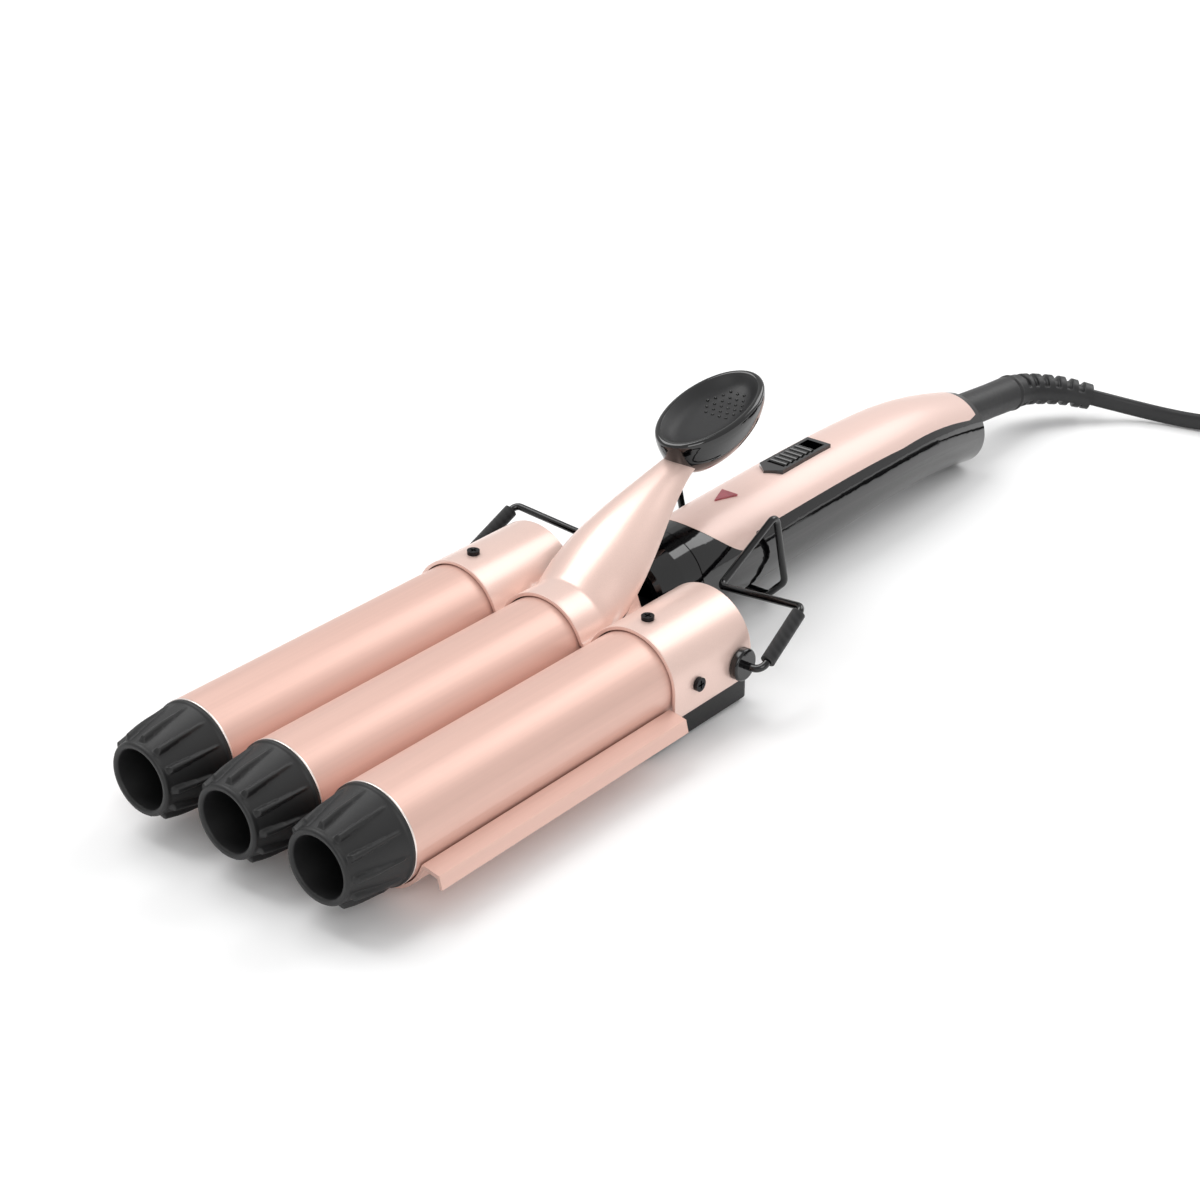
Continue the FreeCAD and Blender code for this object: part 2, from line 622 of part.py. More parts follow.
def hinge_pin(side):
    """A flanged sleeve through lug, cheek and skirt; the stand wire's end turns in its bore."""
    s = SIDES[side]
    flange_in = PITCH + dim("cover_radius") + 0.3
    shank = rod(V(s * (LUG_IN - 13), HINGE.y, HINGE.z), V(s * flange_in, HINGE.y, HINGE.z),
                dim("pin_radius"))
    flange = rod(V(s * flange_in, HINGE.y, HINGE.z), V(s * (flange_in + 2.6), HINGE.y, HINGE.z),
                 dim("pin_flange_radius"))
    flange = flange.makeFillet(0.8, [max(flange.Edges, key=lambda e: abs(e.CenterOfMass.x))])
    bore = rod(V(s * (LUG_IN + 1), HINGE.y, HINGE.z), V(s * 60, HINGE.y, HINGE.z), dim("wire_radius") + GAP)
    return shank.fuse(flange).cut(bore)


for side in SIDES:
    feature(f"hinge_pin_{side}", hinge_pin(side))

SPRING_WIRE_R = 0.7
SPRING_R = dim("pin_radius") + 0.5 + SPRING_WIRE_R
SPRING_TURNS = 4.25


def torsion_spring():
    """Coils round the right hinge pin; one leg goes down into the base, the other up to the carrier."""
    pitch = 2 * SPRING_WIRE_R + 0.25
    helix = Part.makeHelix(pitch, pitch * SPRING_TURNS, SPRING_R)
    start = V(SPRING_R, 0, 0)
    coil = Part.Wire(helix).makePipeShell(
        [Part.Wire([Part.Circle(start, V(0, 1, 0), SPRING_WIRE_R).toShape()])], True, True)
    end = V(0, SPRING_R, pitch * SPRING_TURNS)
    low_leg = rod(start, start + V(7.4, -5.6, 0), SPRING_WIRE_R)
    high_leg = tube([end, end + V(-8.5, 0, 0), V(-12.4, -7.8, end.z)], SPRING_WIRE_R)
    spring = coil.fuse([low_leg, high_leg])
    spring.Placement = FreeCAD.Placement(V(30.0, HINGE.y, HINGE.z), FreeCAD.Rotation(V(0, 1, 0), 90))
    return spring


feature("torsion_spring", torsion_spring())


# ---------------------------------------------------------------- handle
# stations of the grip: along Y, half width, half height, middle above the table
GRIP_STATIONS = [
    (-10.6, 16.3, 16.3, 20.4),
    (-2.0, 17.0, 17.0, 20.5),
    (27.0, 17.5, 17.3, 21.1),
    (66.0, 17.4, 17.6, 21.6),
    (97.0, 17.2, 16.9, 22.0),
    (130.0, 16.4, 16.0, 20.9),
    (158.0, 15.0, 14.7, 16.8),
    (169.0, 14.3, 14.2, 14.5),
]
SEAM = [(-15.0, 23.5), (40.0, 23.0), (80.0, 22.0), (107.0, 20.6), (140.0, 18.0), (175.0, 14.6)]
SWIVEL = V(0, dim("handle_rear"), dim("swivel_height"))
SLOPE = FreeCAD.Rotation(V(1, 0, 0), -dim("swivel_slope"))
STEM_R = 4.5
FLANGE_R = 6.0


def grip(offset):
    """The grip's outside, made larger or smaller by an offset."""
    wires = [ellipse(V(0, y, z), half_width + offset, half_height + offset, "Y")
             for y, half_width, half_height, z in GRIP_STATIONS]
    return Part.makeLoft(wires, True, False)


def above_seam():
    curve = Part.BSplineCurve()
    curve.interpolate([V(-30, y, z) for y, z in SEAM])
    edge = curve.toShape()
    first, last = curve.StartPoint, curve.EndPoint
    corners = [last, V(-30, last.y, 60), V(-30, first.y, 60), first]
    sides = [Part.LineSegment(a, b).toShape() for a, b in zip(corners, corners[1:])]
    return Part.Face(Part.Wire([edge, *sides])).extrude(V(60, 0, 0))


def swivel_rod(start, end, radius):
    """A cylinder on the swivel's own axis, between two distances behind the handle's end."""
    axis = SLOPE.multVec(V(0, 1, 0))
    return rod(SWIVEL + axis * start, SWIVEL + axis * end, radius)


def tongue():
    """Plan outline of the pink inlay: a round front, straight sides, drawn in at the rear."""
    front = Part.Arc(V(-14.9, 20, 24), V(0, -3.5, 24), V(14.9, 20, 24)).toShape()
    side = [V(14.9, 20, 24), V(14.9, 110, 24), V(12.6, 165.5, 24), V(-12.6, 165.5, 24),
            V(-14.9, 110, 24), V(-14.9, 20, 24)]
    lines = [Part.LineSegment(a, b).toShape() for a, b in zip(side, side[1:])]
    return Part.Face(Part.Wire([front, *lines])).extrude(V(0, 0, 40))


def switch_outline(grow):
    """Plan outline of the switch bezel, pointed towards the barrels."""
    middle = dim("switch_place")
    half, front, rear = 5.0 + grow, middle - 13.5 - grow, middle + 15.5 + grow
    corners = [V(0, front - 4.5, 0), V(half, front, 0), V(half, rear, 0), V(-half, rear, 0),
               V(-half, front, 0)]
    return Part.Face(Part.makePolygon([*corners, corners[0]]))


def raised(face, low, high):
    face = face.copy()
    face.translate(V(0, 0, low))
    return face.extrude(V(0, 0, high - low))


def lens_outline(grow):
    y = dim("lens_place")
    corners = [V(0, y - 4.6 - 1.6 * grow, 0), V(3.3 + grow, y + 4.0 + grow, 0),
               V(-3.3 - grow, y + 4.0 + grow, 0)]
    return Part.Face(Part.makePolygon([*corners, corners[0]]))


OUTSIDE, INSIDE, BED = grip(0), grip(-dim("shell_wall")), grip(-0.9)
UPPER_HALF = above_seam()
FRONT_BORE = Part.makeCylinder(14.65, 5.7, V(0, dim("handle_front") - 0.1, NECK_AXIS_Z), V(0, 1, 0))
REAR_WALL = box(V(-20, dim("handle_rear") - 4, -5), V(20, dim("handle_rear") + 5, 60))
hollow = INSIDE.cut(REAR_WALL).cut(box(V(-20, -40, 0), V(20, dim("handle_front") - 0.2, 60)))
SWITCH_HOLE = raised(switch_outline(0.05), 30, 50)
LENS_HOLE = raised(lens_outline(0.05), 30, 50)
inlay_blank = grip(0.12).cut(BED).common(tongue())
GRIP_SCREWS = {"front": (8.0, 3.9), "rear": (128.0, 5.2)}
bosses = [Part.makeCylinder(3.4, 60, V(0, y, low)) for y, low in GRIP_SCREWS.values()]
shell = OUTSIDE.cut(hollow).fuse([boss.common(OUTSIDE) for boss in bosses])
shell = shell.cut(FRONT_BORE).cut(swivel_rod(-8, 8, STEM_R + GAP))
grip_screws = []
for y, low in GRIP_SCREWS.values():
    shell = shell.cut(Part.makeCylinder(2.3, 4.0, V(0, y, low - 2.5)))
    shell = shell.cut(Part.makeCylinder(1.2, 22, V(0, y, low)))
    grip_screws.append(pan_screw(V(0, y, low + 0.1), V(0, 0, 1), 2.2, 1.2, 18))

inlay = inlay_blank.cut(SWITCH_HOLE).cut(LENS_HOLE)
upper = shell.common(UPPER_HALF).cut(inlay_blank).cut(SWITCH_HOLE).cut(LENS_HOLE)
lower = shell.cut(UPPER_HALF)
moulded = {"handle_upper_shell": upper, "handle_lower_shell": lower, "handle_inlay": inlay}
for label, solid in moulded.items():
    feature(label, max(solid.Solids, key=lambda piece: piece.Volume))
feature("handle_screws", Part.makeCompound(grip_screws))

# ---------------------------------------------------------------- switch, lamp and circuit board
SLIDER = (6.9, 19.4)
SLOT = (3.6, SLIDER[1] + dim("switch_travel") + 1.4)
SLOT_FRONT = dim("switch_place") - 11.2
slot_opening = box(V(-SLOT[0], SLOT_FRONT, 20), V(SLOT[0], SLOT_FRONT + SLOT[1], 50))
bezel = raised(switch_outline(0), 35.2, 39.9).cut(slot_opening)
feature("switch_bezel", bezel)

BOARD_TOP = 24.0
housing = box(V(-6, SLOT_FRONT, BOARD_TOP), V(6, SLOT_FRONT + SLOT[1], 33.6))
housing = housing.cut(box(V(-1.7, SLOT_FRONT + 6.5, 29.5), V(1.7, SLOT_FRONT + 16.5, 34)))
feature("switch_housing", housing)


def switch_slider():
    """A thumb slide with round ribs across its top and a stem down into the switch."""
    front = SLOT_FRONT + 0.4
    half = SLIDER[0] / 2
    body = box(V(-half, front, 36.0), V(half, front + SLIDER[1], 39.4))
    rib_places = [front + 2.2 + 3.0 * i for i in range(6)]
    ribs = [rod(V(-half, y, 39.4), V(half, y, 39.4), 1.1) for y in rib_places]
    stem = box(V(-1.4, front + 7.0, 30.5), V(1.4, front + 10.6, 36.0))
    return body.fuse([*ribs, stem]).removeSplitter()


feature("switch_slider", switch_slider())
feature("indicator_lens", raised(lens_outline(0), 36.4, 38.9))
keep(primitive("Part::Cylinder", "indicator_led", V(0, dim("lens_place") + 1, BOARD_TOP),
               Radius="1.5", Height="12"), "indicator_led")
keep(primitive("Part::Box", "circuit_board", V(-9, 15, BOARD_TOP - 1.6),
               Length="18", Width="86", Height="1.6"), "circuit_board")

# ---------------------------------------------------------------- swivel and strain relief
SWIVEL_END = 40.7
SWIVEL_PROFILE = [
    ("-30", "1.9"),
    ("-30", "3.6"),
    ("-12", "3.6"),
    ("-12", "4.5"),
    ("-9.4", "4.5"),
    ("-9.4", "6"),
    ("-6.6", "6"),
    ("-6.6", "4.5"),
    ("1.2", "4.5"),
    ("1.2", "dims.swivel_radius"),
    ("26", "dims.swivel_radius - 0.2"),
    (f"{SWIVEL_END - 1}", "dims.swivel_radius"),
    (f"{SWIVEL_END}", "dims.swivel_radius - 0.8"),
    (f"{SWIVEL_END}", "1.9"),
]
revolved("cord_swivel", SWIVEL_PROFILE, SWIVEL, SLOPE)
holder = swivel_rod(-12.0, -4.6, 7.05).cut(swivel_rod(-12.2, 0, STEM_R + GAP))
holder = holder.cut(swivel_rod(-9.5, -6.5, FLANGE_R + GAP))
feature("swivel_holder", holder)
feature("contact_rings", Part.makeCompound([
    swivel_rod(start, start + 3, 5.0).cut(swivel_rod(start - 1, start + 4, 3.6)) for start in (-27.0, -20.0)
]))
brush = box(V(5.15, -27.5, -1.5), V(5.75, -12.02, 1.5))
brushes = [brush, brush.mirror(V(), V(1, 0, 0))]
for strip in brushes:
    strip.Placement = FreeCAD.Placement(SWIVEL, SLOPE).multiply(strip.Placement)
feature("contact_brushes", Part.makeCompound(brushes))

RELIEF_PATH = [
    SWIVEL + SLOPE.multVec(V(0, SWIVEL_END, 0)),
    V(0.6, 220.5, 14.5),
    V(10.5, 232.5, 12.4),
    V(19.8, 240.3, 9.4),
]
FLEX_ROUTE = [
    RELIEF_PATH[-1],
    V(29.0, 247.6, 6.3),
    V(42.5, 254.0, 3.7),
    V(57.5, 257.0, 3.35),
    V(72.0, 261.4, 3.9),
    V(90.0, 271.3, 4.1),
    V(108.2, 281.8, 4.1),
]
COIL = V(130.0, 244.0, 0)
COIL_LIFT = 0.8
COLUMN_PITCH = 5.0
HALF_WIDTH = dim("flex_width") / 2
TURN_R = dim("coil_turn_radius")


def strain_relief():
    """A bent, tapering sleeve: a chain of frustums with rib collars, along the relief's path."""
    path = rounded(RELIEF_PATH, [11.0, 24.0])
    length = path.Length
    count = 14
    spots, ways = [], []
    stations = path.discretize(Number=count + 1)
    for i, spot in enumerate(stations):
        before, after = stations[max(i - 1, 0)], stations[min(i + 1, count)]
        spots.append(spot)
        ways.append((after - before).normalize())
    ways[0] = SLOPE.multVec(V(0, 1, 0))
    rings = []
    for i, (spot, way) in enumerate(zip(spots, ways)):
        radius = 6.6 - 1.6 * i / count
        rings.append(Part.Wire([Part.Circle(spot, way, radius).toShape()]))
    return Part.makeLoft(rings, True, False)


feature("strain_relief", strain_relief())


# ---------------------------------------------------------------- lead: flex, coil, tie and plug
def bend_radii(points):
    """The largest tangent arcs that the runs on both sides of each point leave room for."""
    radii = []
    for before, here, after in zip(points, points[1:], points[2:]):
        into, out = here - before, after - here
        shorter = min(into.Length, out.Length)
        radii.append(0.45 * shorter / math.tan(into.getAngle(out) / 2))
    return radii


def flex_section(point, way):
    """The twin flex's flat section, standing on its edge."""
    across = way.cross(V(0, 0, 1)).normalize() * (dim("flex_thickness") / 2)
    rise = across.cross(way).normalize() * (HALF_WIDTH - dim("flex_thickness") / 2)
    crown = across.cross(way).normalize() * HALF_WIDTH
    edges = [
        Part.Arc(point + rise - across, point + crown, point + rise + across).toShape(),
        Part.LineSegment(point + rise + across, point - rise + across).toShape(),
        Part.Arc(point - rise + across, point - crown, point - rise - across).toShape(),
        Part.LineSegment(point - rise - across, point + rise - across).toShape(),
    ]
    return Part.Wire(edges)


def flex(points, name):
    """The flex along its route, with its section kept on edge; the volume is compared with the sum."""
    radii = bend_radii(points)
    path = rounded(points, radii)
    section = flex_section(points[0], (points[1] - points[0]).normalize())
    pipe = Part.BRepOffsetAPI.MakePipeShell(path)
    pipe.setBiNormalMode(V(0, 0, 1))
    pipe.add(section)
    pipe.build()
    pipe.makeSolid()
    solid = pipe.shape()
    expected = Part.Face(section).Area * path.Length
    print(name, "bend radii", [round(r, 1) for r in radii], "length", round(path.Length, 1),
          "volume", round(solid.Volume, 1), "section x length", round(expected, 1))
    return solid


feature("cord_tube", flex(FLEX_ROUTE, "cord_tube"))
# two layers of four turns side by side
coil_half = 1.5 * COLUMN_PITCH + dim("flex_thickness") / 2 + 0.1
coil_height = 2 * dim("flex_width") + 0.2
coil_ring = Part.makeCylinder(TURN_R + coil_half, coil_height, V(0, 0, COIL_LIFT)).cut(
    Part.makeCylinder(TURN_R - coil_half, coil_height, V(0, 0, COIL_LIFT)))
coil_ring = coil_ring.makeFillet(3.0, [e for e in coil_ring.Edges if e.Closed])
coil_ring.translate(COIL)
feature("cord_coil", coil_ring)

TIE_GAUGE = 0.7
tie = box(V(TURN_R - coil_half - TIE_GAUGE, -7, 0.05),
          V(TURN_R + coil_half + TIE_GAUGE, 7, COIL_LIFT + coil_height + TIE_GAUGE))
tie = tie.cut(box(V(TURN_R - coil_half, -8, COIL_LIFT), V(TURN_R + coil_half, 8, COIL_LIFT + coil_height)))
tie.rotate(V(), V(0, 0, 1), 40)
tie.translate(COIL)
feature("cord_tie", tie)

PLUG = V(166.0, 205.0, 8.2)
TAIL_ROUTE = [V(173.5, 240.0, 10.6), V(172.0, 227.0, 9.8), V(167.5, 216.0, 8.8), PLUG]
feature("cord_tail", flex(TAIL_ROUTE, "cord_tail"))


PLUG_LENGTH = 31.0
BLADE_LENGTH = 17.5


def plug_body():
    """A moulded two-blade plug: a tapered tail into a flat grip and a square face."""
    stations = [(0, 3.4, 4.2), (9, 4.4, 5.4), (14, 7.4, 10.0), (24, 8.0, 12.0), (PLUG_LENGTH, 8.0, 12.4)]
    wires = []
    for along, half_z, half_x in stations:
        corners = [V(PLUG.x + a * half_x, PLUG.y - along, PLUG.z + b * half_z)
                   for a, b in ((-1, -1), (1, -1), (1, 1), (-1, 1))]
        wires.append(Part.makePolygon([*corners, corners[0]]))
    return Part.makeLoft(wires, True, True)


feature("plug_body", plug_body())
blades = []
for s in (-1, 1):
    low = V(PLUG.x + s * 6.35 - 0.75, PLUG.y - PLUG_LENGTH - BLADE_LENGTH, PLUG.z - 3.2)
    blade = box(low, low + V(1.5, BLADE_LENGTH, 6.4))
    tip_edges = [e for e in blade.Edges if e.BoundBox.YMax < low.y + 0.5 and e.BoundBox.XLength > 1]
    blades.append(blade.makeChamfer(1.2, tip_edges))
feature("plug_blades", Part.makeCompound(blades))

# ---------------------------------------------------------------- folding stand
STAND_CORNERS = [
    (43.0, -41.8, 19.1),
    (62.2, -41.8, 19.1),
    (60.2, -17.5, 31.2),
    (22.2, -10.0, 23.5),
    (20.9, 22.5, 37.2),
    (20.6, 29.5, 9.0),
    (13.5, 30.0, 1.9),
]
STAND_BENDS = [3.0, 2.6, 2.6, 3.0, 5.0, 4.5]


def stand_wire():
    """One bent wire: both ends in the hinge pins, two side loops and a bow under the handle."""
    right = [V(*corner) for corner in STAND_CORNERS]
    left = [V(-p.x, p.y, p.z) for p in reversed(right)]
    path = rounded([*right, *left], [*STAND_BENDS, *reversed(STAND_BENDS)])
    start = right[0]
    return swept(path, Part.Circle(start, V(1, 0, 0), dim("wire_radius")).toShape())


def stand_sleeve(s):
    """The heat sleeve on the outer leg, with the wire through it."""
    start, end = (V(s * x, y, z) for x, y, z in STAND_CORNERS[1:3])
    way = (end - start).normalize()
    low, high = start + way * 4.2, end - way * 2.8
    return rod(low, high, dim("sleeve_radius")).cut(rod(low - way, high + way, dim("wire_radius")))


feature("stand_wire", stand_wire())
for side, s in SIDES.items():
    feature(f"stand_sleeve_{side}", stand_sleeve(s))

# ---------------------------------------------------------------- checks and files
doc.recompute()
for obj in doc.Objects:
    if "Invalid" in obj.State or "Error" in obj.State:
        raise RuntimeError(f"{obj.Label} failed: {obj.State}")
for label, obj in nodes.items():
    if obj.Shape.isNull() or not obj.Shape.isValid():
        raise RuntimeError(f"{label} has no valid shape")
for label, obj in nodes.items():
    obj.Shape.exportStep(f"parts/{label}.step")
print(len(nodes), "sub-parts written")
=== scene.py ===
"""Three-barrel hair waver with a rose-gold finish, its flat twin lead and a plain studio stage."""

import math

import bmesh
import bpy
from mathutils import Matrix, Vector


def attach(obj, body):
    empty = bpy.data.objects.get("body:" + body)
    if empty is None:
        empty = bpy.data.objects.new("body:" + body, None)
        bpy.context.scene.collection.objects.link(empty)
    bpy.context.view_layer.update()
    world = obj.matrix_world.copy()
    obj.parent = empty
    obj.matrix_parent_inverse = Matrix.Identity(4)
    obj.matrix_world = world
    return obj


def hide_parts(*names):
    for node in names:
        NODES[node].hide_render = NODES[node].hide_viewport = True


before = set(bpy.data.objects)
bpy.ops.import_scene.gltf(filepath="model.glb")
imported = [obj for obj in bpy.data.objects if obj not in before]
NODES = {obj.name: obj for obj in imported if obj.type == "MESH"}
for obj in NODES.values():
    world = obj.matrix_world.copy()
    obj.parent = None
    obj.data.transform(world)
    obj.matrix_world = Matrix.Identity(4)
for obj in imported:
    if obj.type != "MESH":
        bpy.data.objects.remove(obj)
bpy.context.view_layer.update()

bl_info = {
    "name": "Three-barrel hair waver",
    "version": (1, 0, 0),
    "blender": (4, 5, 0),
    "location": "View3D > Sidebar > Waver",
    "description": "Builds the visible pieces and finishes of a three-barrel hair waver",
    "category": "Object",
}

MM = 0.001

# Places that every piece shares, in millimetres in the row frame
AXIS_Z = 21.0
PITCH = 36.0
BARREL_FRONT = -188.0
BARREL_R = 16.0
COVER_R = 17.6


# ------------------------------------------------------------------ user settings
def hex_property(name, description, default):
    return bpy.props.StringProperty(name=name, description=description, default=default)


class WaverColours(bpy.types.PropertyGroup):
    """sRGB hex colours of the finishes."""

    coating: hex_property("Coating", "Ceramic coating of the barrels and the trough plate", "#DFB9AC")
    pearl: hex_property("Pearl", "Pearl lacquer of the saddle cover", "#E9CBC0")
    inlay: hex_property("Inlay", "Satin lacquer of the handle inlay", "#E6C8BE")
    black: hex_property("Black", "Polished and satin black mouldings", "#060607")
    cap: hex_property("Cap", "Heat-proof moulding of the end caps", "#0B0B0C")
    cord: hex_property("Cord", "PVC of the lead", "#0F0F11")
    lens: hex_property("Lens", "Moulded indicator lens", "#C4636C")
    floor: hex_property("Floor", "Studio floor", "#F7F7F7")


class WaverSizes(bpy.types.PropertyGroup):
    """Sizes that a user would change."""

    cap_ribs: bpy.props.IntProperty(name="Cap ribs", description="Grip ribs round a cap", default=12, min=6)
    rib_height: bpy.props.FloatProperty(
        name="Rib height", description="Grip rib above the cone", default=0.0017, unit="LENGTH")
    sheet: bpy.props.FloatProperty(
        name="Sheet", description="Thickness of the saddle cover", default=0.0011, unit="LENGTH")
    bump: bpy.props.FloatProperty(
        name="Bump", description="Radius of a grip bump in the thumb rest", default=0.00055, unit="LENGTH")
    flex_width: bpy.props.FloatProperty(
        name="Flex width", description="Twin flex across", default=0.0066, unit="LENGTH")
    flex_thickness: bpy.props.FloatProperty(
        name="Flex thickness", description="Twin flex through", default=0.0033, unit="LENGTH")
    coil_turns: bpy.props.IntProperty(name="Coil turns", description="Turns of the put-away lead", default=7)


# ------------------------------------------------------------------ helpers for meshes
WELD = 1e-6


def smooth(low, high, value):
    """0 below low, 1 above high, with a soft start and end."""
    part = min(max((value - low) / (high - low), 0.0), 1.0)
    return part * part * (3 - 2 * part)


def along(stations, value):
    """A value read off a list of (place, value) stations, with soft joins (monotone cubic)."""
    places = [s[0] for s in stations]
    if value <= places[0]:
        return stations[0][1]
    if value >= places[-1]:
        return stations[-1][1]
    i = max(k for k, place in enumerate(places) if place <= value)
    slopes = [(b[1] - a[1]) / (b[0] - a[0]) for a, b in zip(stations, stations[1:])]

    def tangent(k):
        if k in (0, len(places) - 1):
            return slopes[0] if k == 0 else slopes[-1]
        before, after = slopes[k - 1], slopes[k]
        return 0.0 if before * after <= 0 else 2 * before * after / (before + after)

    width = places[i + 1] - places[i]
    part = (value - places[i]) / width
    low, high = stations[i][1], stations[i + 1][1]
    return ((2 * part**3 - 3 * part**2 + 1) * low + (part**3 - 2 * part**2 + part) * width * tangent(i)
            + (3 * part**2 - 2 * part**3) * high + (part**3 - part**2) * width * tangent(i + 1))


def mesh_object(name, points, faces, material, body, stands_for=(), scale=MM):
    """A shaded mesh piece on a body, from points in millimetres unless scale says otherwise."""
    mesh = bpy.data.meshes.new(name)
    mesh.from_pydata([Vector(p) * scale for p in points], [], faces)
    mesh.validate()
    tidy = bmesh.new()
    tidy.from_mesh(mesh)
    bmesh.ops.remove_doubles(tidy, verts=tidy.verts, dist=WELD)
    bmesh.ops.recalc_face_normals(tidy, faces=tidy.faces)
    tidy.to_mesh(mesh)
    tidy.free()
    mesh.shade_smooth()
    piece = bpy.data.objects.new(name, mesh)
    bpy.context.scene.collection.objects.link(piece)
    mesh.materials.append(material)
    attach(piece, body)
    if stands_for:
        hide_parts(*stands_for)
    return piece


def lattice(rows, closed=True):
    """Points and faces of rows of equal length; closed joins each row's end to its start."""
    count = len(rows[0])
    points = [p for row in rows for p in row]
    faces = []
    for r in range(len(rows) - 1):
        for c in range(count if closed else count - 1):
            a, b = r * count + c, r * count + (c + 1) % count
            faces.append((a, b, b + count, a + count))
    return points, faces


def modified(piece, kind, **settings):
    """Adds a modifier with its settings."""
    modifier = piece.modifiers.new(kind.title(), kind)
    for name, value in settings.items():
        setattr(modifier, name, value)


# ------------------------------------------------------------------ helpers for finishes
def linear(text):
    """A hex sRGB colour as linear RGBA."""
    channels = [int(text[i:i + 2], 16) / 255 for i in (1, 3, 5)]
    return (*(c / 12.92 if c <= 0.04045 else ((c + 0.055) / 1.055) ** 2.4 for c in channels), 1.0)


def scaled(colour, factor):
    return (*(min(c * factor, 1.0) for c in colour[:3]), 1.0)


def add_node(tree, kind, settings=None, links=None):
    """A shader node with its settings, and with its sockets linked."""
    node = tree.nodes.new(kind)
    for name, value in (settings or {}).items():
        if name in node.inputs:
            node.inputs[name].default_value = value
        else:
            setattr(node, name, value)
    for name, source in (links or {}).items():
        tree.links.new(source, node.inputs[name])
    return node


def finish(name, colour, **sockets):
    """A material with one Principled shader; returns the material, its tree and the shader."""
    material = bpy.data.materials.new(name)
    material.use_nodes = True
    tree = material.node_tree
    shader = tree.nodes["Principled BSDF"]
    shader.inputs["Base Color"].default_value = colour
    for socket, value in sockets.items():
        shader.inputs[socket.replace("_", " ")].default_value = value
    return material, tree, shader


def place_on(tree, size_mm, stretch=(1, 1, 1)):
    """Object coordinates scaled so that one unit is a given size in millimetres."""
    spot = add_node(tree, "ShaderNodeTexCoord")
    factor = 1000 / size_mm
    return add_node(tree, "ShaderNodeMapping", {"Scale": tuple(factor * s for s in stretch)},
                    {"Vector": spot.outputs["Object"]}).outputs["Vector"]


def grained(tree, shader, size_mm, depth, stretch=(1, 1, 1), rough=None, detail=3.0):
    """A fine grain: bump of a real depth in millimetres, and roughness that follows it."""
    noise = add_node(tree, "ShaderNodeTexNoise", {"Detail": detail, "Scale": 1.0},
                     {"Vector": place_on(tree, size_mm, stretch)})
    bump = add_node(tree, "ShaderNodeBump", {"Strength": 1.0, "Distance": depth * MM},
                    {"Height": noise.outputs["Fac"]})
    tree.links.new(bump.outputs["Normal"], shader.inputs["Normal"])
    if rough:
        spread = add_node(tree, "ShaderNodeMapRange", {"To Min": rough[0], "To Max": rough[1]},
                          {"Value": noise.outputs["Fac"]})
        tree.links.new(spread.outputs["Result"], shader.inputs["Roughness"])
    return noise


def mottled(tree, shader, noise, dark, light):
    """The base colour runs between two shades with a noise."""
    mix = add_node(tree, "ShaderNodeMix", {"data_type": "RGBA"}, {0: noise.outputs["Fac"]})
    mix.inputs[6].default_value, mix.inputs[7].default_value = dark, light
    tree.links.new(mix.outputs[2], shader.inputs["Base Color"])


# ------------------------------------------------------------------ finishes
def ceramic_coated_aluminium(colour):
    """Sprayed ceramic over drawn aluminium: a satin metal sheen, with faint streaks along the tube
    from the drawing and the wiping, and a fine orange-peel that softens the highlights."""
    material, tree, shader = finish("ceramic coated aluminium", colour, Metallic=0.4, Roughness=0.42,
                                    Coat_Weight=0.1, Coat_Roughness=0.3)
    streaks = add_node(tree, "ShaderNodeTexNoise", {"Detail": 4.0, "Scale": 1.0},
                       {"Vector": place_on(tree, 1.2, (1, 0.02, 1))})
    mottled(tree, shader, streaks, scaled(colour, 0.93), scaled(colour, 1.06))
    grained(tree, shader, 0.5, 0.006, rough=(0.37, 0.48))
    return material


def pearl_lacquered_steel(colour):
    """Pearl lacquer on pressed steel: mica flakes give a fine sparkle under a clear coat."""
    material, tree, shader = finish("pearl lacquered steel", colour, Metallic=0.35, Roughness=0.33,
                                    Coat_Weight=0.35, Coat_Roughness=0.14)
    flakes = grained(tree, shader, 0.3, 0.004, rough=(0.27, 0.42), detail=2.0)
    mottled(tree, shader, flakes, scaled(colour, 0.92), scaled(colour, 1.07))
    return material


def satin_lacquered_abs(colour):
    """Satin lacquer on moulded ABS: even and soft, with a barely visible spray texture."""
    material, tree, shader = finish("satin lacquered ABS", colour, Metallic=0.15, Roughness=0.38,
                                    Coat_Weight=0.2, Coat_Roughness=0.2)
    spray = grained(tree, shader, 0.4, 0.003, rough=(0.33, 0.43), detail=2.0)
    mottled(tree, shader, spray, scaled(colour, 0.96), scaled(colour, 1.04))
    return material


def polished_abs(colour):
    """ABS from a polished mould: deep black and near mirror-smooth, with slow moulding waves."""
    material, tree, shader = finish("polished ABS", colour, Roughness=0.07, IOR=1.53, Coat_Weight=0.4,
                                    Coat_Roughness=0.04)
    grained(tree, shader, 9.0, 0.012, rough=(0.05, 0.1), detail=1.0)
    return material


def spark_eroded_nylon(name, colour, depth=0.03):
    """Glass-filled nylon from a spark-eroded mould: dark grey and matt, with a fine dry grain."""
    material, tree, shader = finish(name, colour, Roughness=0.5, IOR=1.52)
    grain = grained(tree, shader, 0.35, depth, rough=(0.42, 0.6))
    mottled(tree, shader, grain, scaled(colour, 0.8), scaled(colour, 1.3))
    return material


def moulded_pvc(colour):
    """Soft PVC: matt black with a slight waxy sheen and rub marks."""
    material, tree, shader = finish("moulded PVC", colour, Roughness=0.45, IOR=1.54, Sheen_Weight=0.05)
    rubs = grained(tree, shader, 1.6, 0.01, rough=(0.38, 0.55))
    mottled(tree, shader, rubs, scaled(colour, 0.85), scaled(colour, 1.25))
    return material


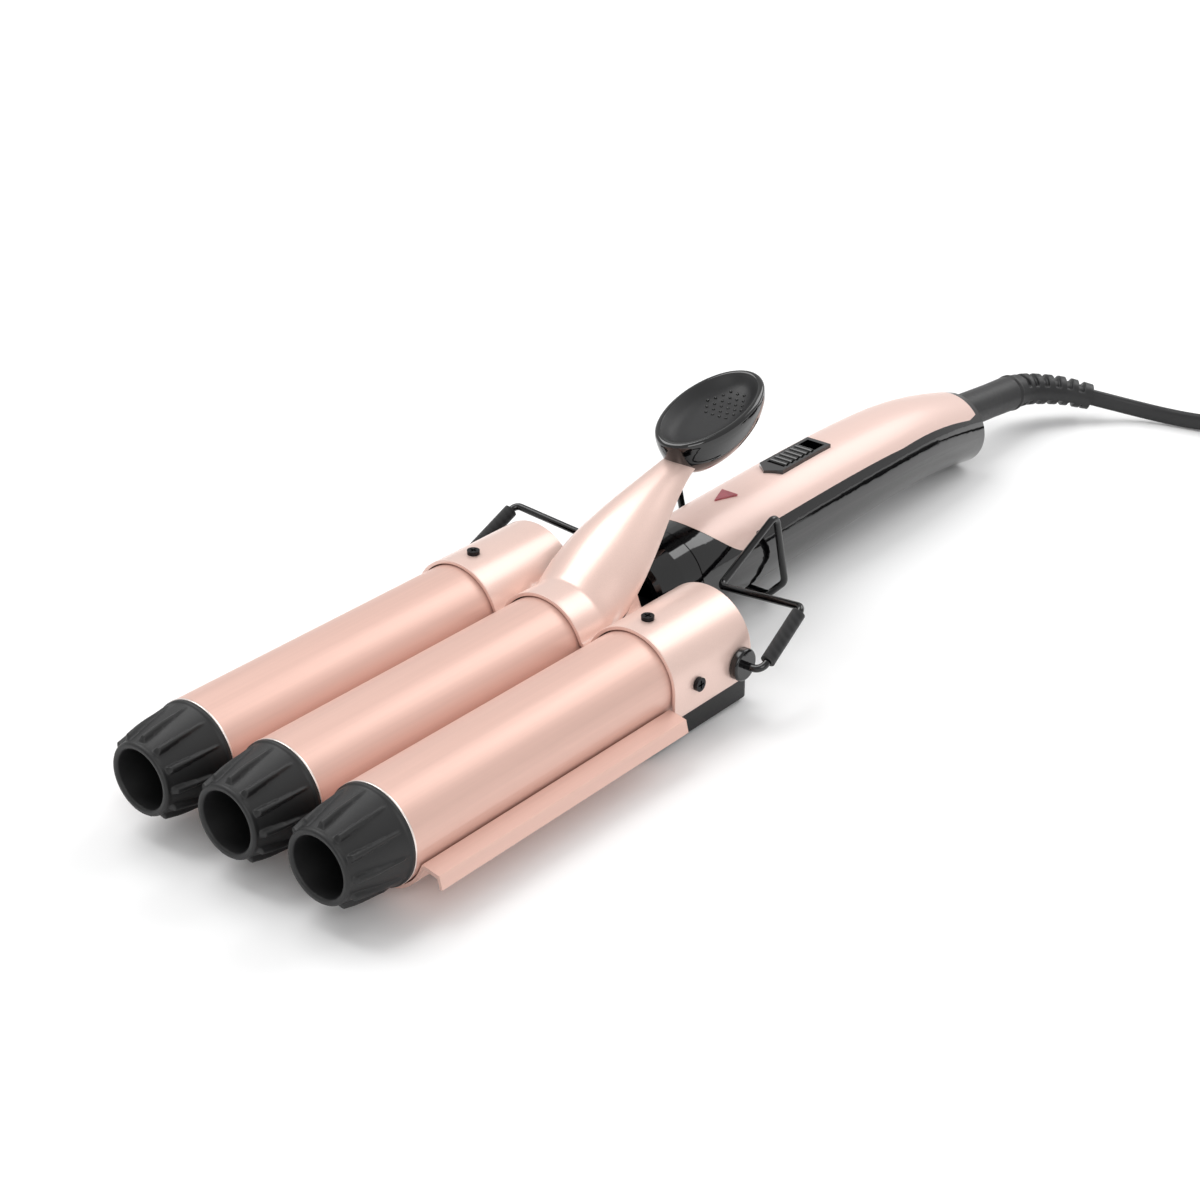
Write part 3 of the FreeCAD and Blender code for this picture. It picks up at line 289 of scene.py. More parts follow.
def enamelled_wire(colour):
    """Stove enamel on steel wire: glossy black with a little orange-peel."""
    material, tree, shader = finish("enamelled steel wire", colour, Roughness=0.12, IOR=1.5, Coat_Weight=0.2)
    grained(tree, shader, 1.0, 0.004, rough=(0.09, 0.18), detail=1.0)
    return material


def braided_glass_sleeve(colour):
    """Black braided glass-fibre sleeve: a tight diagonal weave, its bands drawn 1 mm wide
    so that they show."""
    material, tree, shader = finish("braided glass sleeve", colour, Roughness=0.75, Sheen_Weight=0.2)
    weave = add_node(tree, "ShaderNodeTexWave",
                     {"bands_direction": "DIAGONAL", "Scale": 1.0, "Distortion": 1.5},
                     {"Vector": place_on(tree, 5.6)})
    bump = add_node(tree, "ShaderNodeBump", {"Strength": 1.0, "Distance": 0.12 * MM},
                    {"Height": weave.outputs["Fac"]})
    tree.links.new(bump.outputs["Normal"], shader.inputs["Normal"])
    mottled(tree, shader, weave, scaled(colour, 0.6), scaled(colour, 1.5))
    return material


def plain_metal(name, text, roughness):
    """Worked metal: fine scratches vary its gloss; the IOR stays at its default."""
    material, tree, shader = finish(name, linear(text), Metallic=1.0, Roughness=roughness)
    grained(tree, shader, 0.6, 0.004, (1, 0.2, 1), (roughness * 0.8, roughness * 1.3))
    return material


def dull_solid(name, text, roughness=0.6):
    """An inner piece: board, sleeving or rubber, with a fine uneven surface."""
    material, tree, shader = finish(name, linear(text), Roughness=roughness)
    grain = grained(tree, shader, 0.8, 0.02, rough=(roughness * 0.85, min(roughness * 1.2, 1.0)))
    mottled(tree, shader, grain, scaled(linear(text), 0.85), scaled(linear(text), 1.15))
    return material


def moulded_acrylic(colour):
    """Red translucent acrylic: clear enough to look deep, with a polished face."""
    material, tree, shader = finish("moulded red acrylic", colour, Roughness=0.12, IOR=1.49,
                                    Transmission_Weight=0.35)
    swirl = grained(tree, shader, 2.2, 0.02, detail=2.0)
    mottled(tree, shader, swirl, scaled(colour, 0.7), scaled(colour, 1.25))
    return material


FINISHES = {}


def make_finishes(colours):
    black = linear(colours.black)
    FINISHES.update({
        "coating": ceramic_coated_aluminium(linear(colours.coating)),
        "pearl": pearl_lacquered_steel(linear(colours.pearl)),
        "inlay": satin_lacquered_abs(linear(colours.inlay)),
        "polished": polished_abs(black),
        "cap": spark_eroded_nylon("spark eroded nylon", linear(colours.cap)),
        "satin": spark_eroded_nylon("satin moulded nylon", scaled(black, 1.8), 0.012),
        "dish": spark_eroded_nylon("fine moulded nylon", scaled(black, 2.5), 0.006),
        "pvc": moulded_pvc(linear(colours.cord)),
        "enamel": enamelled_wire(black),
        "sleeve": braided_glass_sleeve(scaled(black, 2.2)),
        "screw": plain_metal("black oxide steel", "#2A2A2C", 0.3),
        "rivet": plain_metal("turned aluminium", "#B9B7B4", 0.35),
        # Near-white metal of the ring on the tubes' front edges: a painted highlight standing for the light
        # that the edge's bevel catches
        "painted_edge_highlight": plain_metal("pale metal as painted edge highlight", "#F4E9E4", 0.3),
        "spring": plain_metal("oiled spring steel", "#8C8C90", 0.3),
        "heater": plain_metal("extruded aluminium", "#C3C3C6", 0.4),
        "blade": plain_metal("nickel plated brass", "#CFCAC0", 0.22),
        "brass": plain_metal("stamped brass", "#C8A04E", 0.3),
        "board": dull_solid("etched epoxy board", "#2F6B3E"),
        "glass_sleeve": dull_solid("woven glass sleeving", "#D8D5CB", 0.8),
        "rubber": dull_solid("moulded rubber", "#161617", 0.65),
        "lens": moulded_acrylic(linear(colours.lens)),
    })


CAD_FINISHES = {
    "coating": ("barrel_left", "barrel_middle", "barrel_right", "trough_plate"),
    "inlay": ("handle_inlay",),
    "polished": ("neck_cone", "handle_upper_shell", "handle_lower_shell", "switch_bezel", "switch_slider"),
    "satin": ("base_housing", "barrel_carrier", "switch_housing", "swivel_holder"),
    "pvc": ("cord_swivel",),
    "enamel": ("stand_wire", "hinge_pin_left", "hinge_pin_right"),
    "sleeve": ("stand_sleeve_left", "stand_sleeve_right"),
    "screw": ("hump_screws", "skirt_screws", "handle_screws", "thumb_rest_screw"),
    "rivet": ("plate_rivets",),
    "spring": ("torsion_spring",),
    "heater": ("heater_left", "heater_middle", "heater_right", "thermal_fuse"),
    "blade": ("plug_blades",),
    "brass": ("contact_rings", "contact_brushes"),
    "board": ("circuit_board",),
    "glass_sleeve": ("heater_leads",),
    "rubber": ("cord_tie",),
    "lens": ("indicator_lens", "indicator_led"),
}


class WAVER_OT_finishes(bpy.types.Operator):
    """Makes every material and gives the carried-over pieces theirs"""

    bl_idname = "waver.finishes"
    bl_label = "Finishes"

    def execute(self, context):
        make_finishes(context.scene.waver_colours)
        for key, names in CAD_FINISHES.items():
            for name in names:
                materials = NODES[name].data.materials
                materials.clear()
                materials.append(FINISHES[key])
        return {"FINISHED"}


# ------------------------------------------------------------------ camera
CAMERA_PLACE = (0.452871, -0.597258, 0.393736)
CAMERA_AZIMUTH, CAMERA_ELEVATION, CAMERA_ROLL = (math.radians(angle) for angle in (39.366, 27.304, -0.04))
LENS_MM, SENSOR_MM = 74.41, 36.0


class WAVER_OT_camera(bpy.types.Operator):
    """Places the camera: above the end caps, looking along the barrels from the right"""

    bl_idname = "waver.camera"
    bl_label = "Camera"

    def execute(self, context):
        data = bpy.data.cameras.new("camera")
        data.lens, data.sensor_width = LENS_MM, SENSOR_MM
        camera = bpy.data.objects.new("camera", data)
        context.scene.collection.objects.link(camera)
        camera.matrix_world = (Matrix.Translation(CAMERA_PLACE)
                               @ Matrix.Rotation(CAMERA_AZIMUTH, 4, "Z")
                               @ Matrix.Rotation(math.pi / 2 - CAMERA_ELEVATION, 4, "X")
                               @ Matrix.Rotation(CAMERA_ROLL, 4, "Z"))
        context.scene.camera = camera
        return {"FINISHED"}


# ------------------------------------------------------------------ the lead
# Control points in metres; the coil's turns come between the flex route and the tail
FLEX_ROUTE = [(0.0198, 0.2403, 0.0094), (0.0290, 0.2476, 0.0063), (0.0425, 0.2540, 0.0037),
              (0.0575, 0.2570, 0.00335), (0.0720, 0.2614, 0.0039), (0.0900, 0.2713, 0.0041)]
TAIL_ROUTE = [(0.1735, 0.2360, 0.0105), (0.1720, 0.2270, 0.0098), (0.1675, 0.2160, 0.0088),
              (0.1660, 0.2050, 0.0082)]
RELIEF_ROUTE = [(0.0, 0.2095, 0.01546), (0.0004, 0.2150, 0.0150), (0.0024, 0.2222, 0.0142),
                (0.0105, 0.2325, 0.0124), (0.0165, 0.2376, 0.0105), (0.0198, 0.2403, 0.0094)]
COIL_CENTRE = (0.130, 0.244)
COIL_RADII = (0.0436, 0.0386, 0.0336, 0.0286)
COIL_START = math.radians(120)
COIL_LAYERS = (0.0041, 0.0107)
TURN_POINTS = 24
FLEX_RESOLUTION, LINE_RESOLUTION = 6, 24
PROFILE_STEPS = 7


def coil_place(turn):
    """Radius and height of the lead after a number of turns: inwards on the surface, then outwards."""
    radius = COIL_RADII[0]
    for step, (outer, inner) in enumerate(zip(COIL_RADII, COIL_RADII[1:])):
        radius += (inner - outer) * smooth(step + 0.8, step + 0.95, turn)
        radius += (outer - inner) * smooth(6.4 - step, 6.55 - step, turn)
    height = COIL_LAYERS[0] + (COIL_LAYERS[1] - COIL_LAYERS[0]) * smooth(3.52, 3.8, turn)
    return radius, height


def coil_points(turns):
    """The put-away turns; the spline runs a little inside its points, so they stand out by that much."""
    stand_out = 1 / (0.75 + 0.25 * math.cos(2 * math.pi / TURN_POINTS))
    points = []
    for k in range(turns * TURN_POINTS + TURN_POINTS // 3 + 1):
        turn = k / TURN_POINTS
        radius, height = coil_place(turn)
        angle = COIL_START - 2 * math.pi * turn
        points.append((COIL_CENTRE[0] + radius * stand_out * math.cos(angle),
                       COIL_CENTRE[1] + radius * stand_out * math.sin(angle), height))
    return points


def spline_curve(name, points, resolution):
    """A curve of one open NURBS spline, with the route's points as its control points."""
    data = bpy.data.curves.new(name, "CURVE")
    data.dimensions = "3D"
    spline = data.splines.new("NURBS")
    spline.points.add(len(points) - 1)
    for point, place in zip(spline.points, points):
        point.co = (*place, 1.0)
    spline.order_u = 3
    spline.use_endpoint_u = True
    spline.resolution_u = data.resolution_u = resolution
    curve = bpy.data.objects.new(name, data)
    bpy.context.scene.collection.objects.link(curve)
    return curve


def spline_line(points):
    """Places along a route's spline, in metres."""
    curve = spline_curve("route", points, LINE_RESOLUTION)
    bpy.context.view_layer.update()
    line = bpy.data.meshes.new_from_object(curve)
    places = [v.co.copy() for v in line.vertices]
    bpy.data.objects.remove(curve)
    return places


def flex_profile(width, thickness):
    """Cross-section of the twin flex: flat sides and round edges, wide side upright."""
    data = bpy.data.curves.new("flex_profile", "CURVE")
    data.dimensions = "2D"
    spline = data.splines.new("POLY")
    radius, straight = thickness / 2, (width - thickness) / 2
    places = []
    for side in (1, -1):
        for k in range(PROFILE_STEPS):
            angle = math.pi * k / (PROFILE_STEPS - 1) + (0 if side > 0 else math.pi)
            places.append((radius * math.cos(angle), side * straight + radius * math.sin(angle)))
    spline.points.add(len(places) - 1)
    for point, (x, y) in zip(spline.points, places):
        point.co = (x, y, 0, 1)
    spline.use_cyclic_u = True
    profile = bpy.data.objects.new("flex_profile", data)
    bpy.context.scene.collection.objects.link(profile)
    profile.hide_render = profile.hide_viewport = True
    return profile


class WAVER_OT_flex(bpy.types.Operator):
    """Lays the flat twin flex from the strain relief to the plug, with its put-away coil"""

    bl_idname = "waver.flex"
    bl_label = "Flex"

    def execute(self, context):
        sizes = context.scene.waver_sizes
        flex = spline_curve("flex", FLEX_ROUTE + coil_points(sizes.coil_turns) + TAIL_ROUTE,
                            FLEX_RESOLUTION)
        flex.data.twist_mode = "Z_UP"
        flex.data.bevel_mode = "OBJECT"
        flex.data.bevel_object = flex_profile(sizes.flex_width, sizes.flex_thickness)
        flex.data.use_fill_caps = True
        flex.data.materials.append(FINISHES["pvc"])
        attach(flex, "lead")
        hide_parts("cord_tube", "cord_coil", "cord_tail")
        return {"FINISHED"}


RELIEF_STEPS, RELIEF_AROUND = 170, 72
SLOT_PITCH, SLOT_DEPTH = 5.2, 1.7
RELIEF_RADII = [(0, 6.75), (1.2, 6.85), (3.0, 6.7), (32, 5.5), (38, 5.15)]


class WAVER_OT_strain_relief(bpy.types.Operator):
    """Moulds the bend protector: staggered slots above and below a spine, tapering to the flex"""

    bl_idname = "waver.strain_relief"
    bl_label = "Strain relief"

    def execute(self, context):
        line = spline_line(RELIEF_ROUTE)
        lengths = [0.0]
        for a, b in zip(line, line[1:]):
            lengths.append(lengths[-1] + (b - a).length)
        total = lengths[-1]
        rows = []
        for k in range(RELIEF_STEPS + 1):
            run = total * k / RELIEF_STEPS
            i = min(max(j for j, reach in enumerate(lengths) if reach <= run + 1e-9), len(line) - 2)
            part = (run - lengths[i]) / (lengths[i + 1] - lengths[i])
            centre = line[i].lerp(line[i + 1], part)
            heading = (line[min(i + 2, len(line) - 1)] - line[max(i - 1, 0)]).normalized()
            side = heading.cross(Vector((0, 0, 1))).normalized()
            up = side.cross(heading)
            s = run / MM
            base = along(RELIEF_RADII, s)
            base += 0.35 * (smooth(0.2, 0.5, s) - smooth(1.5, 1.8, s))
            row = []
            for c in range(RELIEF_AROUND):
                angle = 2 * math.pi * c / RELIEF_AROUND
                spine = abs(math.cos(angle))
                phase = (s - 4.2) / SLOT_PITCH + (0.5 if math.sin(angle) < 0 else 0.0)
                wave = phase % 1.0
                cut = smooth(0.40, 0.47, wave) - smooth(0.86, 0.93, wave)
                cut *= 1 - smooth(0.80, 0.88, spine)
                cut *= smooth(4.0, 4.6, s) - smooth(total / MM - 3.2, total / MM - 2.6, s)
                radius = (base - SLOT_DEPTH * cut) * MM
                row.append(centre + (side * math.cos(angle) + up * math.sin(angle)) * radius)
            rows.append(row)
        points, faces = lattice(rows)
        for start in (0, RELIEF_STEPS * RELIEF_AROUND):
            faces.append(tuple(range(start, start + RELIEF_AROUND)))
        mesh_object("strain_relief_moulding", points, faces, FINISHES["pvc"], "lead",
                    ("strain_relief",), scale=1.0)
        return {"FINISHED"}


def oval_rings(stations, around, centre, squareness):
    """Rings of a rounded form along Y: each station is (place, half width, half height)."""
    rows = []
    for place, half_width, half_height in stations:
        row = []
        for c in range(around):
            angle = 2 * math.pi * c / around
            cos, sin = math.cos(angle), math.sin(angle)
            across = math.copysign(abs(cos) ** (2 / squareness), cos) * half_width
            upward = math.copysign(abs(sin) ** (2 / squareness), sin) * half_height
            row.append((centre[0] + across, place, centre[1] + upward))
        rows.append(row)
    return rows


PLUG_CENTRE, PLUG_REAR, PLUG_SQUARENESS = (166.0, 8.2), 205.0, 2.7
PLUG_AROUND, PLUG_RINGS, PLUG_STEP = 56, 125, 0.25
GROOVE_DEPTH, GROOVE_PITCH, GROOVE_FROM, GROOVE_TO = 0.45, 1.6, 14, 26


class WAVER_OT_plug(bpy.types.Operator):
    """Moulds the two-pin plug body with its finger grooves"""

    bl_idname = "waver.plug"
    bl_label = "Plug"

    def execute(self, context):
        outline = [(0.0, 3.4, 4.3), (5.0, 4.2, 4.8), (9.0, 6.6, 5.8), (13.5, 10.4, 7.2),
                   (19.0, 11.9, 7.8), (25.0, 12.3, 8.0), (29.8, 12.3, 8.0), (31.0, 11.5, 7.3)]
        widths = [(x, w) for x, w, _ in outline]
        heights = [(x, h) for x, _, h in outline]
        stations = []
        for k in range(PLUG_RINGS):
            run, groove = k * PLUG_STEP, 0.0
            if GROOVE_FROM < run < GROOVE_TO:
                groove = GROOVE_DEPTH * max(0.0, math.sin((run - GROOVE_FROM) * math.pi / GROOVE_PITCH))
            stations.append((PLUG_REAR - run, along(widths, run) - groove,
                             along(heights, run) - groove / 2))
        rows = oval_rings(stations, PLUG_AROUND, PLUG_CENTRE, PLUG_SQUARENESS)
        points, faces = lattice(rows)
        faces.append(tuple(range(PLUG_AROUND)))
        faces.append(tuple(range(len(points) - PLUG_AROUND, len(points))))
        plug = mesh_object("plug_moulding", points, faces, FINISHES["pvc"], "lead",
                           ("plug_body",))
        modified(plug, "BEVEL", width=0.0005, segments=2, limit_method="ANGLE")
        return {"FINISHED"}


# ------------------------------------------------------------------ end caps
# Profiles of a cap and of a pale ring on the tube's edge, which is a painted highlight for the light on the
# edge's bevel: (distance in front of the tube's edge, radius)
CAP_LENGTH, CAP_STEPS, CAP_AROUND, EDGE_AROUND = 22.1, 88, 288, 96
CAP_CONE = [(0.0, BARREL_R), (1.1, BARREL_R), (1.5, 15.55), (3.0, 15.2), (11.0, 13.75), (19.0, 12.0),
            (20.4, 11.75), (21.4, 11.7), (CAP_LENGTH, 11.2)]
CAP_MOUTH = [(CAP_LENGTH, 10.4), (21.9, 9.8), (21.2, 9.6), (8.0, 9.2), (-4.0, 9.0), (-5.5, 7.5), (-6.0, 0.3)]
RIB_HALF_ANGLES = [(1.6, 1.0), (6, 2.1), (12, 3.6), (17, 5.2), (20.0, 5.4)]
HIGHLIGHT_RING_PROFILE = [(0.05, 15.6), (0.05, 16.05), (-0.1, 16.12), (-0.5, 16.12), (-0.6, 16.02), (-0.6, 15.6),
             (0.05, 15.6)]


def circle(x, out, radius, around):
    """A ring about a barrel's axis, a distance in front of the tube's edge."""
    return [(x + radius * math.cos(2 * math.pi * c / around), BARREL_FRONT - out,
             AXIS_Z + radius * math.sin(2 * math.pi * c / around)) for c in range(around)]


def ribbed_ring(x, out, rib_count, rib_height):
    """A ring of the cone with the teardrop ribs that stand on it."""
    width = math.radians(along(RIB_HALF_ANGLES, out))
    length = smooth(1.6, 5.5, out) * (1 - smooth(19.3, 20.4, out))
    sector = 2 * math.pi / rib_count
    row = []
    for c in range(CAP_AROUND):
        angle = 2 * math.pi * c / CAP_AROUND
        off = abs((angle + sector / 2) % sector - sector / 2)
        rise = math.sqrt(max(0.0, 1 - (off / width) ** 2)) if off < width else 0.0
        radius = along(CAP_CONE, out) + rib_height * rise * length * (0.45 + 0.55 * smooth(5, 17, out))
        row.append((x + radius * math.cos(angle), BARREL_FRONT - out, AXIS_Z + radius * math.sin(angle)))
    return row


class WAVER_OT_end_caps(bpy.types.Operator):
    """Moulds the three cool tips: a cone with teardrop grip ribs, a raised rim and a blind mouth"""

    bl_idname = "waver.end_caps"
    bl_label = "End caps"

    def execute(self, context):
        sizes = context.scene.waver_sizes
        for name, x in (("left", -PITCH), ("middle", 0.0), ("right", PITCH)):
            rows = [ribbed_ring(x, CAP_LENGTH * k / CAP_STEPS, sizes.cap_ribs, sizes.rib_height / MM)
                    for k in range(CAP_STEPS + 1)]
            rows += [circle(x, out, radius, CAP_AROUND) for out, radius in CAP_MOUTH]
            points, faces = lattice(rows)
            faces.append(tuple(range(len(points) - CAP_AROUND, len(points))))
            faces.append(tuple(range(CAP_AROUND)))
            mesh_object(f"cool_tip_{name}", points, faces, FINISHES["cap"], "barrel_jaw",
                        (f"end_cap_{name}",))
            # A pale ring round each tube's front edge: a painted highlight, in place of the light that
            # catches the edge's bevel
            points, faces = lattice([circle(x, out, radius, EDGE_AROUND) for out, radius in HIGHLIGHT_RING_PROFILE])
            mesh_object(f"highlight_ring_{name}", points, faces, FINISHES["painted_edge_highlight"], "barrel_jaw")
        return {"FINISHED"}


# ------------------------------------------------------------------ saddle cover with its lever
# Stations of the middle group: (place along Y, value), in millimetres
CREST = [(-74.5, 31.2), (-62.2, 38.6), (-57.0, 41.8), (-50.0, 46.0), (-36.5, 52.4), (-22.0, 57.8),
         (-6.0, 62.6), (4.0, 65.0)]
HALF_WIDTH = [(-74.5, 18.0), (-62.0, 18.0), (-55.0, 17.8), (-50.0, 17.5), (-43.0, 16.6), (-36.5, 15.0),
              (-29.0, 12.8), (-22.0, 10.5), (-14.0, 8.2), (-6.0, 6.3), (4.0, 4.8)]
EDGE_Z = [(-74.5, 25.3), (-62.2, 25.4), (-55.0, 28.5), (-50.0, 31.8), (-43.0, 36.8), (-36.5, 40.8),
          (-22.0, 49.6), (-6.0, 57.6), (4.0, 60.6)]
CREASE_Y = -62.2
SWELL_RUN = 12.0
SEAM_TURN = 0.12
SADDLE_FRONT, SADDLE_REAR, LEVER_REAR = -74.5, -35.7, 4.0
SPLIT_Y = -47.5
NOTCH_X, SKIRT_Z, ARC_END_Z = 19.3, 12.6, 27.0


def middle_row(y):
    """The middle group at a station: the hump's arc in front, then a crease and the lever's dome."""
    half, crest, edge = along(HALF_WIDTH, y), along(CREST, y), along(EDGE_Z, y)
    swell = smooth(CREASE_Y, CREASE_Y + SWELL_RUN, y)
    row = []
    for k in range(-24, 25):
        u = math.sin(k / 24 * math.pi / 2)
        x = half * u
        hump = AXIS_Z + math.sqrt(max(COVER_R**2 - x * x, (ARC_END_Z - AXIS_Z) ** 2))
        hump = min(hump, edge + 1.7 * (half - abs(x)) + 0.02) if abs(x) > 15.5 else hump
        if y > CREASE_Y:
            front_edge, front_crest = along(EDGE_Z, CREASE_Y), AXIS_Z + COVER_R
            arc_shape = max(hump - front_edge, 0.0) / (front_crest - front_edge)
            dome_shape = max(1 - abs(u) ** 2.1, 0.0) ** 0.62
            hump = edge + (crest - edge) * (arc_shape + (dome_shape - arc_shape) * swell)
        row.append((x, y, hump))
    return row


def side_row(y, side):
    """A side hump at a station, from the seam over the top and down the outer skirt."""
    start = math.acos((PITCH - NOTCH_X) / COVER_R)
    row = []
    if y <= SPLIT_Y:
        seam = Vector((along(HALF_WIDTH, y), along(EDGE_Z, y)))
        foot = Vector((PITCH - COVER_R * math.cos(start + SEAM_TURN),
                       AXIS_Z + COVER_R * math.sin(start + SEAM_TURN)))
        belly = Vector((seam.x + 0.55, min(foot.y, seam.y) - 0.35))
        for k in range(6):
            part = k / 6
            at = seam * (1 - part) ** 2 + belly * 2 * part * (1 - part) + foot * part**2
            row.append((side * at.x, y, at.y))
    else:
        row = [(side * (PITCH - COVER_R * math.cos(start + SEAM_TURN * k / 6)), y,
                AXIS_Z + COVER_R * math.sin(start + SEAM_TURN * k / 6)) for k in range(6)]
    start += SEAM_TURN
    for k in range(37):
        angle = start + (math.pi - start) * k / 36
        row.append((side * (PITCH - COVER_R * math.cos(angle)), y, AXIS_Z + COVER_R * math.sin(angle)))
    for k in range(1, 7):
        row.append((side * (PITCH + COVER_R), y, AXIS_Z - (AXIS_Z - SKIRT_Z) * k / 6))
    return row


class WAVER_OT_saddle_cover(bpy.types.Operator):
    """Presses the saddle that bridges the barrels, with the lever that rises from its middle hump"""

    bl_idname = "waver.saddle_cover"
    bl_label = "Saddle cover"

    def execute(self, context):
        def stations(low, high, step):
            count = round((high - low) / step)
            return [low + (high - low) * k / count for k in range(count + 1)]

        shared = stations(SADDLE_FRONT, SPLIT_Y, 0.75)
        points, faces = lattice([middle_row(y) for y in shared + stations(SPLIT_Y, LEVER_REAR, 1.0)[1:]],
                                closed=False)
        for side in (-1, 1):
            rows = [side_row(y, side) for y in shared + stations(SPLIT_Y, SADDLE_REAR, 0.75)[1:]]
            more, extra = lattice(rows, closed=False)
            faces += [tuple(i + len(points) for i in face) for face in extra]
            points += more
        cover = mesh_object("saddle_pressing", points, faces, FINISHES["pearl"], "barrel_jaw",
                            ("saddle_cover",))
        modified(cover, "SOLIDIFY", thickness=context.scene.waver_sizes.sheet, offset=-1.0,
                 use_even_offset=True)
        modified(cover, "BEVEL", width=0.00025, segments=2, limit_method="ANGLE",
                 angle_limit=math.radians(50))
        return {"FINISHED"}


# ------------------------------------------------------------------ thumb rest
# Stations of the level form: (height, middle along Y, half length, half width)
REST_HULL = [(57.3, 7.0, 9.0, 5.0), (57.6, 7.1, 10.2, 6.0), (61.0, 9.8, 17.4, 10.2),
             (66.0, 11.5, 22.4, 13.2), (70.4, 12.0, 23.9, 14.3), (71.8, 12.0, 24.0, 14.4),
             (73.2, 12.0, 23.9, 14.3)]
REST_RIM = [(74.0, 12.0, 23.3, 13.7), (74.2, 12.0, 22.6, 13.0), (74.1, 12.0, 21.9, 12.4)]
REST_DISH = [(73.5, 12.0, 21.1, 11.8), (71.0, 12.0, 18.2, 9.4), (69.9, 12.0, 15.0, 7.6),
             (69.4, 12.0, 11.4, 5.6), (69.15, 12.0, 4.2, 2.0)]
REST_MIDDLE = (12.0, 74.0)
REST_TILT = math.radians(14)
REST_AROUND = 120
DISH_HALF_WIDTH, DISH_HALF_LENGTH = 12.3, 21.8
BUMP_ROWS, BUMP_FRONT, BUMP_PITCH_X, BUMP_PITCH_Y = (4, 5, 6, 5, 4, 3), 14.5, 2.8, 2.5
BUMP_AROUND, BUMP_SINK = 12, 0.15
BUMP_RISES = (0.0, 0.4, 0.8, 1.15, 1.5)


def tilted(point):
    """A place on the level thumb rest, turned so that its rear end rises."""
    x, along_y, up_z = point[0], point[1] - REST_MIDDLE[0], point[2] - REST_MIDDLE[1]
    cos, sin = math.cos(REST_TILT), math.sin(REST_TILT)
    return (x, REST_MIDDLE[0] + along_y * cos - up_z * sin, REST_MIDDLE[1] + along_y * sin + up_z * cos)


def between(stations, steps):
    """Stations filled in with soft joins."""
    last = len(stations) - 1
    curves = [[(i, s[j]) for i, s in enumerate(stations)] for j in range(4)]
    return [tuple(along(curve, last * k / (last * steps)) for curve in curves)
            for k in range(last * steps + 1)]


def dish_height(x, y):
    """Height of the dish's face over a place: that of the innermost ring round it."""
    rings = between(REST_DISH, 12)
    for height, middle, half_length, half_width in reversed(rings):
        if (x / half_width) ** 2 + ((y - middle) / half_length) ** 2 <= 1:
            return height
    return rings[0][0]


class WAVER_OT_thumb_rest(bpy.types.Operator):
    """Moulds the winged thumb rest, with the dish and the grip bumps on its rear half"""

    bl_idname = "waver.thumb_rest"
    bl_label = "Thumb rest"

    def execute(self, context):
        rows = []
        for height, middle, half_length, half_width in between(REST_HULL + REST_RIM + REST_DISH, 8):
            rows.append([(half_width * math.cos(2 * math.pi * c / REST_AROUND),
                          middle + half_length * math.sin(2 * math.pi * c / REST_AROUND), height)
                         for c in range(REST_AROUND)])
        points, faces = lattice(rows)
        faces += [tuple(range(REST_AROUND)), tuple(range(len(points) - REST_AROUND, len(points)))]
        wing = mesh_object("thumb_wing", [tilted(p) for p in points], faces, FINISHES["polished"],
                           "barrel_jaw", ("thumb_rest",))
        wing.data.materials.append(FINISHES["dish"])
        for polygon in wing.data.polygons:
            x, y, _ = polygon.center / MM
            from_middle = (y - REST_MIDDLE[0]) / (DISH_HALF_LENGTH * math.cos(REST_TILT))
            if (x / DISH_HALF_WIDTH) ** 2 + from_middle ** 2 < 1 and polygon.normal.z > 0.3:
                polygon.material_index = 1
        radius = context.scene.waver_sizes.bump / MM
        bumps, skins = [], []
        for line, count in enumerate(BUMP_ROWS):
            for k in range(count):
                x, y = (k - (count - 1) / 2) * BUMP_PITCH_X, BUMP_FRONT + line * BUMP_PITCH_Y
                foot = dish_height(x, y) - BUMP_SINK
                dome, quads = lattice([
                    [(x + radius * math.cos(rise) * math.cos(2 * math.pi * c / BUMP_AROUND),
                      y + radius * math.cos(rise) * math.sin(2 * math.pi * c / BUMP_AROUND),
                      foot + radius * 1.2 * math.sin(rise)) for c in range(BUMP_AROUND)]
                    for rise in BUMP_RISES])
                start, top = len(bumps), len(bumps) + len(dome) - BUMP_AROUND
                skins += [tuple(i + start for i in quad) for quad in quads]
                skins += [tuple(range(top, top + BUMP_AROUND)), tuple(range(start, start + BUMP_AROUND))]
                bumps += dome
        mesh_object("thumb_bumps", [tilted(p) for p in bumps], skins, FINISHES["polished"],
                    "barrel_jaw")
        return {"FINISHED"}


# ------------------------------------------------------------------ stage
FLOOR_REACH, FLOOR_Z = 6.0, -0.0002
WORLD_STRENGTH = 0.62
# Area lights: name, place in metres, watts, side in metres
LIGHTS = [("key", (-0.7, -0.1, 1.3), 11.0, 1.0), ("fill", (1.1, -0.9, 0.9), 6.0, 0.8),
          ("back", (0.3, 1.3, 1.2), 9.0, 1.0)]


